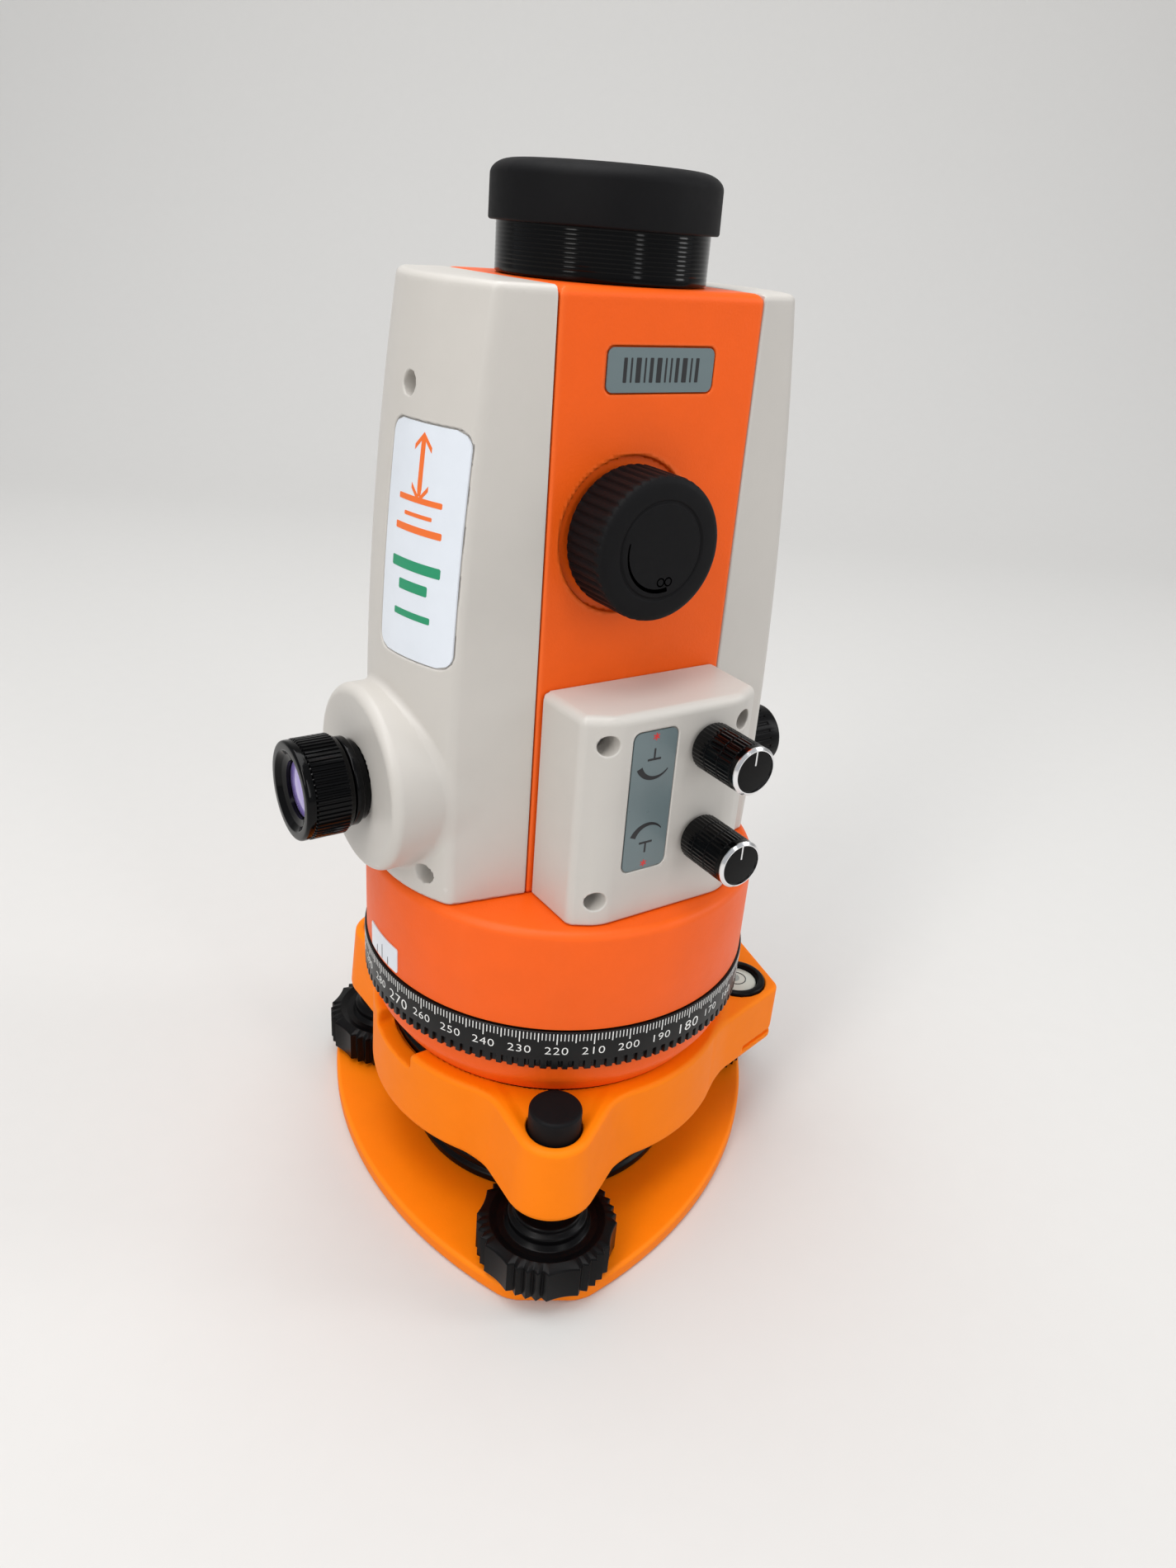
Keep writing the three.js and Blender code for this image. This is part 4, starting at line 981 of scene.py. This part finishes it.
def side_label():
    low, high = SIDE_LABEL_LOW, SIDE_LABEL_HIGH
    # seen from outside, the rear is on the left, so the sheet is laid from rear to front
    spot = rounded_spot((low[1], low[2]), (high[1], high[2]), 3.7, left_face)

    def from_rear(s, t, lift):
        return spot(1 - s, t, lift)

    finish_piece(sheet("side_foil", from_rear, 60, 24, 0.35), "alidade", "label_white", "side_label")
    centre = (low[1] + high[1]) / 2
    top = high[2]
    marks = (
        ("orange_mark", 0.0, 9.0, 1.4, 13.0), ("orange_mark", 0.0, 16.4, 14.0, 1.3),
        ("orange_mark", 0.0, 19.8, 9.0, 0.9), ("orange_mark", 0.0, 23.0, 15.0, 1.6),
        ("green_mark", 0.0, 31.2, 16.0, 2.4), ("green_mark", 0.0, 36.0, 9.5, 2.4),
        ("green_mark", 0.0, 42.6, 12.0, 1.6),
    )
    groups = {}
    for number, (look, across, down, width, height) in enumerate(marks):
        def surface(a, b, lift):
            return left_face(a, b, 0.33 + lift)
        place = rounded_spot((centre + across - width / 2, top - down - height / 2),
                             (centre + across + width / 2, top - down + height / 2), 0.25, surface)
        bar = sheet(f"label_bar_{number}", lambda s, t, lift, place=place: place(1 - s, t, lift), 9, 15, 0.06)
        groups.setdefault(look, []).append(bar)
    for side, tip in ((-1, 17.0), (1, 1.8)):
        z = top - (9.0 + (tip - 9.0) * 0.92)
        for lean in (-1, 1):
            bar = sheet(f"label_arrow_{side}_{lean}", arrow_spot(centre, z, side, lean), 5, 9, 0.06)
            groups["orange_mark"].append(bar)
    for look, bars in groups.items():
        finish_piece(joined(f"side_print_{look}", bars), "alidade", look)


def arrow_spot(centre, tip_z, side, lean):
    """One slanting stroke of an arrow head on the side label."""
    def spot(s, t, lift):
        along = 3.6 * (1 - s)
        y = centre + lean * along * 0.75
        z = tip_z - side * along * 0.8 + (t - 0.5) * 1.2
        return left_face(y, z, 0.33 + lift)
    if lean > 0:
        return spot
    return lambda s, t, lift: spot(1 - s, t, lift)


def cover_screws():
    names = [f"{side}_cover_screw_{place}" for side in ("left", "right")
             for place in ("upper", "lower_front", "lower_rear")]
    for name in names:
        low, high = cad(name)
        side = -1 if name.startswith("left") else 1
        finish_piece(screw_solid(f"{name}_turned", low, high, 0, side), "alidade", "steel", name)
    for name in BOX_SCREWS:
        low, high = cad(name)
        finish_piece(screw_solid(f"{name}_turned", low, high, 1, -1), "alidade", "steel", name)


def screw_solid(name, low, high, axis, side):
    """A pan-head screw with a cross recess; its head is at the outer end of the axis."""
    centre = (low + high) / 2
    others = [i for i in range(3) if i != axis]
    head_radius = (high[others[0]] - low[others[0]]) / 2
    outer = high[axis] if side > 0 else -low[axis]
    inner = low[axis] if side > 0 else -high[axis]

    def distance(p):
        along = side * p[..., axis]
        a, b = p[..., others[0]] - centre[others[0]], p[..., others[1]] - centre[others[1]]
        away = np.hypot(a, b)
        head = outer_corner(outer_corner(away - head_radius, along - outer, 0.5), outer - 2.0 - along, 0.2)
        shaft = np.maximum(np.maximum(away - 1.15, inner - along), along - outer + 1)
        cross = np.minimum(np.maximum(np.abs(a) - 0.3, np.abs(b) - 1.3),
                           np.maximum(np.abs(b) - 0.3, np.abs(a) - 1.3))
        cross = np.maximum(cross, outer - 1.2 - along)
        return carved(np.minimum(head, shaft), cross, 0.08)

    return solid(name, distance, low, high, 0.24)


# ---------------------------------------------------------------- control box
BOX_FLAT = 18.9
BOX_FACET_Y = 44.8
BOX_HALF = 25.9
BOX_SCREWS = [f"box_screw_{place}" for place in ("upper_left", "upper_right", "lower_left", "lower_right")]


def control_box():
    low, high = BOX_LOW, BOX_HIGH
    label_low, label_high = cad("control_label")
    facet = np.array([-low[1] - BOX_FACET_Y, BOX_HALF - BOX_FLAT])
    facet = facet / np.linalg.norm(facet)

    def distance(p):
        x, y, z = p[..., 0], p[..., 1], p[..., 2]
        side = np.abs(x)
        front = -y + low[1]
        slant = (side - BOX_FLAT) * facet[0] + (-y + low[1]) * facet[1]
        shape = outer_corner(front, slant, 1.5)
        flank = np.array([-high[1] + BOX_FACET_Y, high[0] - BOX_HALF])
        flank = flank / np.linalg.norm(flank)
        shape = outer_corner(shape, (side - BOX_HALF) * flank[0] + (-y - BOX_FACET_Y) * flank[1], 1.4)
        shape = outer_corner(shape, z - high[2], 2.3)
        shape = outer_corner(shape, low[2] - z, 0.6)
        shape = outer_corner(shape, y - high[1], 0.3)
        for name in BOX_SCREWS:
            spot = middle(name)
            away = np.hypot(x - spot[0], z - spot[2])
            shape = carved(shape, np.maximum(away - SCREW_POCKET, y + 39.7), 0.35)
            shape = carved(shape, away - 1.45, 0.2)
        recess = box_2d(x, z, (label_low[0] - 0.3, label_low[2] - 0.3),
                        (label_high[0] + 0.3, label_high[2] + 0.3), 2.2)
        shape = carved(shape, np.maximum(recess, -front - PLATE_DEPTH), 0.3)
        for name in ("zenith_laser_knob", "nadir_laser_knob"):
            spot = middle(name)
            shape = carved(shape, np.maximum(np.hypot(x - spot[0], z - spot[2]) - 3.3, y + 42), 0.3)
        return shape

    screws = [middle(name) for name in BOX_SCREWS]
    edges_x, edges_z = (label_low[0], label_high[0]), (label_low[2], label_high[2])
    fine = (
        around([spot[0] for spot in screws], 3.3, 0.35) + around(edges_x, 1.6, 0.35),
        [(low[1] - 1, low[1] + 2.5, 0.35)],
        around([spot[2] for spot in screws], 3.3, 0.35) + around(edges_z, 1.8, 0.35),
    )
    finish_piece(solid("control_box_moulding", distance, low, high, 0.7, fine),
                 "alidade", "warm_grey", "control_box")


def disc_arc(centre, radius, start, end, thin, thick, steps=22):
    """A crescent stroke that widens from one end to the other."""
    outer, inner = [], []
    for i in range(steps + 1):
        share = i / steps
        angle = math.radians(start + (end - start) * share)
        half = (thin + (thick - thin) * share) / 2
        outer.append((centre[0] + (radius + half) * math.cos(angle), centre[1] + (radius + half) * math.sin(angle)))
        inner.append((centre[0] + (radius - half) * math.cos(angle), centre[1] + (radius - half) * math.sin(angle)))
    outline = outer + inner[::-1]
    area = sum(a[0] * b[1] - b[0] * a[1] for a, b in zip(outline, outline[1:] + outline[:1]))
    return outline if area > 0 else outline[::-1]


def control_label():
    low, high = cad("control_label")
    centre = ((low[0] + high[0]) / 2, (low[2] + high[2]) / 2)
    face = high[1]
    outline = rounded_rectangle(high[0] - low[0], high[2] - low[2], 1.9, centre)
    finish_piece(prism("control_foil", outline, 0.42, "front", (0, face, 0)),
                 "alidade", "label_grey", "control_label")
    dark, red = [], []
    at = (0, face - 0.42, 0)
    for side in (1, -1):
        z = centre[1] + side * 17.2
        for turn in range(3):
            angle = math.radians(60 * turn + 90)
            c, s = math.cos(angle), math.sin(angle)
            bar = [(centre[0] + c * a - s * b, z + s * a + c * b)
                   for a, b in ((-0.95, -0.16), (0.95, -0.16), (0.95, 0.16), (-0.95, 0.16))]
            red.append(prism(f"star_{side}_{turn}", bar, 0.04 + 0.004 * turn, "front", at))
        z = centre[1] + side * 12.6
        foot = z - side * 1.3
        bar = rounded_rectangle(3.9, 0.55, 0.1, (centre[0], foot), 2)
        dark.append(prism(f"mark_foot_{side}", bar, 0.04, "front", at))
        bar = rounded_rectangle(0.5, 2.9, 0.1, (centre[0], z + side * 0.1), 2)
        dark.append(prism(f"mark_stem_{side}", bar, 0.045, "front", at))
        arc_centre = (centre[0] + 0.5, centre[1] + side * 11.2)
        start, end = (-158, -38) if side > 0 else (158, 38)
        dark.append(prism(f"mark_arc_{side}", disc_arc(arc_centre, 4.9, end, start, 0.25, 1.7), 0.04, "front", at))
    finish_piece(joined("control_marks", dark), "alidade", "black_mark")
    finish_piece(joined("control_stars", red), "alidade", "red_mark")


DIAL_FLUTES = 36


def dial(name):
    """A turned aluminium knob: fluted skirt in three bands, bright bevel and pointer line."""
    place = middle(name)
    low, high = cad(name)
    radius = (high[0] - low[0]) / 2
    start, end = -high[1], -low[1]
    at = (place[0], 0, place[2])

    def wave(angle, r, z):
        flute = 0.16 * (1 - np.cos(angle * DIAL_FLUTES)) / 2
        return r - flute if (r > radius - 0.1 and z < end - 2.4) else np.full_like(angle, r)

    body = [(3.3, start), (radius - 0.3, start, 0.3)]
    band = (end - 2.6 - start) / 3
    for number in range(3):
        foot = start + 0.4 + number * band
        body += [(radius, foot + 0.1), (radius, foot + band - 0.5), (radius - 0.25, foot + band - 0.35),
                 (radius - 0.25, foot + band - 0.05)]
    body += [(radius - 0.05, end - 2.1), (radius - 0.05, end - 0.9), (radius - 0.7, end - 0.9),
             (radius - 0.9, end - 0.35, 0.2), (0, end - 0.3)]
    hub = start + 8.0
    skirt = turned(f"{name}_skirt", [(0, hub), (3.3, hub), *body], segments=DIAL_FLUTES * 6, wave=wave, axis="front",
                   at=at, sharp=25)
    finish_piece(skirt, name, "black_metal", name)
    bevel = turned(f"{name}_bevel", [
        (radius - 0.68, end - 0.88), (radius - 0.02, end - 0.88), (radius - 0.02, end - 0.6),
        (radius - 0.62, end - 0.02), (radius - 0.86, end - 0.02), (radius - 0.86, end - 0.4),
    ], segments=96, axis="front", at=at, closed=True, sharp=20)
    finish_piece(bevel, name, "silver")
    line = rounded_rectangle(0.42, radius * 0.62, 0.08, (place[0], place[2] + radius * 0.56), 2)
    finish_piece(prism(f"{name}_pointer", line, 0.04, "front", (0, -end + 0.31, 0)), name, "silver")


# ---------------------------------------------------------------- focus knob
FOCUS_RIBS = 44


def focus_knob():
    low, high = cad("focus_knob")
    radius = (high[0] - low[0]) / 2
    start, end = -high[1], -low[1]
    at = (FOCUS[0], 0, FOCUS[2])

    def wave(angle, r, z):
        phase = np.abs(2 * ((angle * FOCUS_RIBS / (2 * math.pi)) % 1) - 1)
        groove = np.clip((phase - 0.45) / 0.3, 0, 1) * 0.55
        share = np.clip((end - 1.3 - z) / 1.2, 0, 1) * np.clip((z - start - 0.6) / 0.8, 0, 1)
        return r - groove * share if r > radius - 1.2 else np.full_like(angle, r)

    sides = [(radius - 0.15, start + 0.8 + i * (end - start - 2.6) / 8) for i in range(9)]
    body = turned("focus_grip", [
        (0, start + 7.4), (4.4, start + 7.4), (4.4, start), (radius - 0.8, start, 0.4), *sides,
        (radius - 0.4, end - 1.0), (radius - 1.0, end - 0.4), (radius - 2.0, end - 0.05), (radius - 5.2, end, 0.3),
        (radius - 5.5, end - 0.35, 0.2), (radius - 5.9, end - 0.35, 0.2), (radius - 6.2, end, 0.3),
        (7.5, end), (5, end), (2.5, end), (1, end), (0, end),
    ], segments=FOCUS_RIBS * 12, wave=wave, axis="front", at=at, sharp=40)
    finish_piece(body, "focus_knob", "black_rubber", "focus_knob")
    marks = []
    for side in (-1, 1):
        middle_x = FOCUS[0] + 1.5 + side * 1.05
        marks.append(turned(f"infinity_{side}", [
            (0.75, end - 0.03), (1.1, end - 0.03), (1.1, end), (0.75, end),
        ], segments=40, axis="front", at=(middle_x, 0, FOCUS[2] - 7.2), closed=True))
    arc = disc_arc((FOCUS[0], FOCUS[2]), radius - 7.6, 165, 285, 0.35, 1.1, 30)
    marks.append(prism("focus_arc", arc, 0.03, "front", (0, -end + 0.03, 0)))
    finish_piece(joined("focus_marks", marks), "focus_knob", "black_metal")
    low, high = cad("focus_pinion")
    finish_piece(turned("focus_shaft", [
        (0, -high[1]), (3.4, -high[1], 0.4), (4.0, -high[1] + 0.8), (4.0, -low[1] - 0.4), (3.6, -low[1], 0.2),
        (0, -low[1]),
    ], segments=48, axis="front", at=at), "focus_knob", "steel", "focus_pinion")


# ---------------------------------------------------------------- telescope
def telescope():
    low, high = cad("objective_barrel")
    neck = HOUSING_HIGH[2] + 0.3
    radius = high[0]
    grooves = []
    z = neck + 1.2
    while z < high[2] - 2:
        grooves += [(radius, z), (radius, z + 0.5), (radius - 0.03, z + 0.6), (radius - 0.03, z + 0.8)]
        z += 0.9
    finish_piece(turned("barrel_turned", [
        (18, low[2]), (21, low[2], 0.4), (21, neck), (radius, neck, 0.4), *grooves, (radius, high[2], 0.8),
        (21, high[2], 0.5), (21, neck + 10), (18, neck + 10),
    ], segments=180, closed=True, sharp=20), "alidade", "black_metal", "objective_barrel")
    low, high = cad("objective_lens")
    edge = high[0]
    crown = [(edge * (1 - i / 8), high[2] - 2 * (1 - i / 8) ** 2) for i in range(9)]
    finish_piece(turned("objective_glass", [(0, low[2]), (edge, low[2], 0.3), *crown], segments=120, sharp=60),
                 "alidade", "coated_lens", "objective_lens")
    low, high = cad("objective_cap")
    radius = high[0]
    ceiling = cad("objective_barrel")[1][2] + 0.3
    turns = [math.radians(7.5 * i) for i in range(13)]
    edge = [(radius - 0.1 - 5.5 * (1 - math.cos(t)), high[2] - 3.9 + 3.4 * math.sin(t)) for t in turns]
    dome = [((radius - 5.6) * (1 - i / 8), high[2] - 0.5 * (1 - i / 8) ** 2) for i in range(1, 9)]
    finish_piece(turned("cap_moulding", [
        (0, ceiling), (24.9, ceiling, 0.5), (24.9, low[2], 0.3), (radius, low[2], 0.6),
        *edge, *dome,
    ], segments=180, sharp=50), "objective_cap", "black_rubber", "objective_cap")


# ---------------------------------------------------------------- eyepiece and battery
EYE_KNURLS = 60


def eyepiece():
    at = (0, 0, EYE[2])
    tube_low, tube_high = cad("eyepiece_tube")
    ring_low, ring_high = cad("diopter_ring")
    face = -cad("left_cover")[0][0] + 0.3
    radius = (ring_high[1] - ring_low[1]) / 2
    start, end = -ring_high[0], -ring_low[0]
    tube_end = -tube_low[0]
    finish_piece(turned("eyepiece_tube_turned", [
        (6, -tube_high[0]), (9, -tube_high[0]), (9, face), (10.2, face, 0.3), (10.2, face + 1.4, 0.3),
        (11.3, face + 1.9, 0.3), (11.3, start - 0.5, 0.5), (9, start - 0.3), (9, tube_end, 0.3), (6, tube_end, 0.3),
    ], segments=120, axis="left", at=at, closed=True), "alidade", "black_metal", "eyepiece_tube")

    def wave(angle, r, z):
        phase = np.abs(2 * ((angle * EYE_KNURLS / (2 * math.pi)) % 1) - 1)
        groove = np.clip((phase - 0.4) / 0.25, 0, 1) * 0.4
        inside = start + 1.3 < z < end - 2.6 and r > radius - 0.1
        return r - groove if inside else np.full_like(angle, r)

    finish_piece(turned("diopter_ring_turned", [
        (9.3, start), (radius - 0.9, start, 0.4), (radius - 0.5, start + 1.2), (radius, start + 1.4),
        (radius, end - 2.7), (radius - 0.6, end - 2.4), (radius - 0.6, end - 2.0), (radius - 0.1, end - 1.8),
        (radius - 0.1, end, 0.8), (radius - 2.4, end, 0.5), (9.0, end - 1.3, 0.5), (7.4, end - 1.9),
        (7.4, tube_end + 0.3), (9.3, tube_end + 0.3),
    ], segments=EYE_KNURLS * 10, wave=wave, axis="left", at=at, closed=True, sharp=25),
        "diopter", "black_metal", "diopter_ring")
    lens_low, lens_high = cad("eyepiece_lens")
    glass_radius = (lens_high[1] - lens_low[1]) / 2
    back, front = -lens_high[0], -lens_low[0]
    crown = [(glass_radius * (1 - i / 8), front - 0.9 * (1 - i / 8) ** 2) for i in range(9)]
    finish_piece(turned("eyepiece_glass", [(0, back), (glass_radius, back, 0.2), *crown], segments=96, axis="left",
                        at=at, sharp=60), "diopter", "coated_lens", "eyepiece_lens")


def battery():
    at = (0, 0, middle("battery_cap")[2])
    low, high = cad("battery_cap")
    radius = (high[1] - low[1]) / 2
    start, end = low[0], high[0]

    def wave(angle, r, z):
        phase = np.abs(2 * ((angle * 24 / (2 * math.pi)) % 1) - 1)
        groove = np.clip((phase - 0.6) / 0.25, 0, 1) * 0.35
        grip = r > radius - 0.15 and start + 3 < z < end - 4
        return r - groove if grip else np.full_like(angle, r)

    finish_piece(turned("battery_cap_moulding", [
        (0, start), (radius - 0.6, start, 0.4), (radius, start + 0.8), (radius, start + 2.9), (radius, start + 3.1),
        (radius, end - 4.1), (radius, end - 3.9), (radius - 0.1, end, 1.4), (radius - 2.6, end, 0.4),
        (radius - 3.2, end - 0.7, 0.4), (0, end - 0.7),
    ], segments=288, wave=wave, axis="right", at=at, sharp=30), "battery_cap", "black_plastic", "battery_cap")
    low, high = cad("battery_pack")
    radius = (high[1] - low[1]) / 2
    finish_piece(turned("battery_holder", [
        (0, low[0]), (radius, low[0], 0.8), (radius, high[0] - 4, 0.3), (radius - 0.8, high[0] - 3.6),
        (radius - 0.8, high[0] - 2.6), (radius, high[0] - 2.2), (radius, high[0], 0.8), (4.2, high[0]),
        (4.0, high[0] - 0.6), (0, high[0] - 0.6),
    ], segments=96, axis="right", at=at), "battery_pack", "black_plastic", "battery_pack")


# ---------------------------------------------------------------- index sticker
def index_sticker():
    low, high = cad("index_sticker")
    radius = DRUM_HIGH[0] + 0.3

    def surface(a, b, lift):
        angle = math.pi + a / radius
        away = radius - 0.28 + lift
        return np.stack([away * np.cos(angle), away * np.sin(angle), b], 1)

    half = high[1]
    spot = rounded_spot((-half, low[2]), (half, high[2]), 0.4, surface)
    finish_piece(sheet("index_foil", spot, 14, 40, 0.3), "alidade", "label_white", "index_sticker")
    lines = []
    for number, (a, length) in enumerate(((-3.4, 2.6), (0.0, 4.6), (3.4, 2.6))):
        place = rounded_spot((a - 0.16, low[2] + 0.1), (a + 0.16, low[2] + 0.1 + length), 0.05,
                             lambda p, q, lift: surface(p, q, 0.29 + lift))
        lines.append(sheet(f"index_line_{number}", place, 4, 3, 0.05))
    finish_piece(joined("index_lines", lines), "alidade", "black_mark")


# ---------------------------------------------------------------- CAD nodes that stay
def keep_cad_nodes():
    looks = {
        "locking_stud_1": "steel", "locking_stud_2": "steel", "locking_stud_3": "steel", "vertical_axis": "steel",
        "nadir_window": "glass", "nadir_laser": "brass", "zenith_laser": "brass", "focusing_cell": "brass",
        "beam_splitter": "glass", "zenith_laser_control": "steel", "nadir_laser_control": "steel",
    }
    for node, look in looks.items():
        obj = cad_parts[node]
        if not obj.material_slots:
            obj.data.materials.append(MATERIALS[look])
        for slot in obj.material_slots:
            slot.link = "OBJECT"
            slot.material = MATERIALS[look]


# ---------------------------------------------------------------- stage, light, camera
def stage():
    """A pale floor that curves up into a pale backdrop behind the camera's view."""
    size, lift, turn = 4.0, 2.6, 0.6
    path = [(-size, 0.0), (1.4 - turn, 0.0)]
    path += [(1.4 - turn + turn * math.sin(a), turn - turn * math.cos(a))
             for a in np.linspace(0, math.pi / 2, 16)[1:]]
    path.append((1.4, lift))
    direction = math.radians(-CAMERA["azimuth"] + 90)
    c, s = math.cos(direction), math.sin(direction)
    verts = []
    for along, height in path:
        for across in (-size, size):
            verts.append((c * along - s * across, s * along + c * across, height))
    faces = [(2 * i, 2 * i + 1, 2 * i + 3, 2 * i + 2) for i in range(len(path) - 1)]
    mesh = bpy.data.meshes.new("studio")
    mesh.from_pydata(verts, [], faces)
    mesh.shade_smooth()
    obj = bpy.data.objects.new("studio", mesh)
    bpy.context.collection.objects.link(obj)
    mesh.materials.append(material("studio_paper", (0.635, 0.625, 0.608), 0.75, mottle=0.01, specular=0.1))


CAMERA = {
    "azimuth": 33.673, "distance": 289.2, "height": 263.3, "yaw": 1.346, "pitch": 26.277, "roll": 4.696,
    "lens": 26.13,
}


def camera():
    azimuth = math.radians(-CAMERA["azimuth"])
    forward = Vector((-math.sin(azimuth), math.cos(azimuth), 0))
    right = Vector((math.cos(azimuth), math.sin(azimuth), 0))
    yaw, pitch, roll = (math.radians(CAMERA[name]) for name in ("yaw", "pitch", "roll"))
    place = -forward * CAMERA["distance"] + Vector((0, 0, CAMERA["height"]))
    ahead = forward * math.cos(yaw) + right * math.sin(yaw)
    side = right * math.cos(yaw) - forward * math.sin(yaw)
    look = ahead * math.cos(pitch) - Vector((0, 0, math.sin(pitch)))
    up = ahead * math.sin(pitch) + Vector((0, 0, math.cos(pitch)))
    turned_side = side * math.cos(roll) + up * math.sin(roll)
    turned_up = up * math.cos(roll) - side * math.sin(roll)
    data = bpy.data.cameras.new("camera")
    data.lens = CAMERA["lens"]
    data.sensor_width = 36
    data.clip_start = 0.01
    obj = bpy.data.objects.new("camera", data)
    bpy.context.collection.objects.link(obj)
    rotation = Matrix((turned_side, turned_up, -look)).transposed().to_4x4()
    obj.matrix_world = Matrix.Translation(place * MM + Vector(AXIS_XY)) @ rotation
    bpy.context.scene.camera = obj


def area_light(name, place, target, size, power, color=(1, 1, 1)):
    data = bpy.data.lights.new(name, "AREA")
    data.shape = "RECTANGLE"
    data.size, data.size_y = size
    data.energy = power
    data.color = color
    obj = bpy.data.objects.new(name, data)
    bpy.context.collection.objects.link(obj)
    obj.location = place
    obj.rotation_euler = (Vector(target) - Vector(place)).to_track_quat("-Z", "Y").to_euler()


def lights():
    centre = (0, 0, 0.15)
    area_light("overhead", (-0.15, 0.1, 1.5), centre, (1.3, 1.0), 16)
    area_light("key_left", (-1.2, -0.5, 1.1), centre, (0.3, 1.2), 10, (1.0, 0.98, 0.95))
    area_light("strip_front", (0.15, -1.6, 0.9), centre, (0.2, 1.2), 3.5)
    area_light("fill_right", (1.2, -0.7, 0.8), centre, (0.3, 1.0), 5)
    world = bpy.data.worlds.new("studio_air")
    world.use_nodes = True
    world.node_tree.nodes["Background"].inputs["Color"].default_value = (0.93, 0.96, 1.0, 1)
    world.node_tree.nodes["Background"].inputs["Strength"].default_value = 0.48
    bpy.context.scene.world = world
    bpy.context.scene.view_settings.view_transform = "Standard"


base_plate()
spring_plate()
for screw_number in (1, 2, 3):
    footscrew(screw_number)
tribrach_body()
lock_knob()
circular_level()
lower_flange()
graduated_ring()
drum()
main_housing()
serial_plate()
left_cover()
right_cover()
side_label()
cover_screws()
control_box()
control_label()
dial("zenith_laser_knob")
dial("nadir_laser_knob")
focus_knob()
telescope()
eyepiece()
battery()
index_sticker()
keep_cad_nodes()
stage()
camera()
lights()
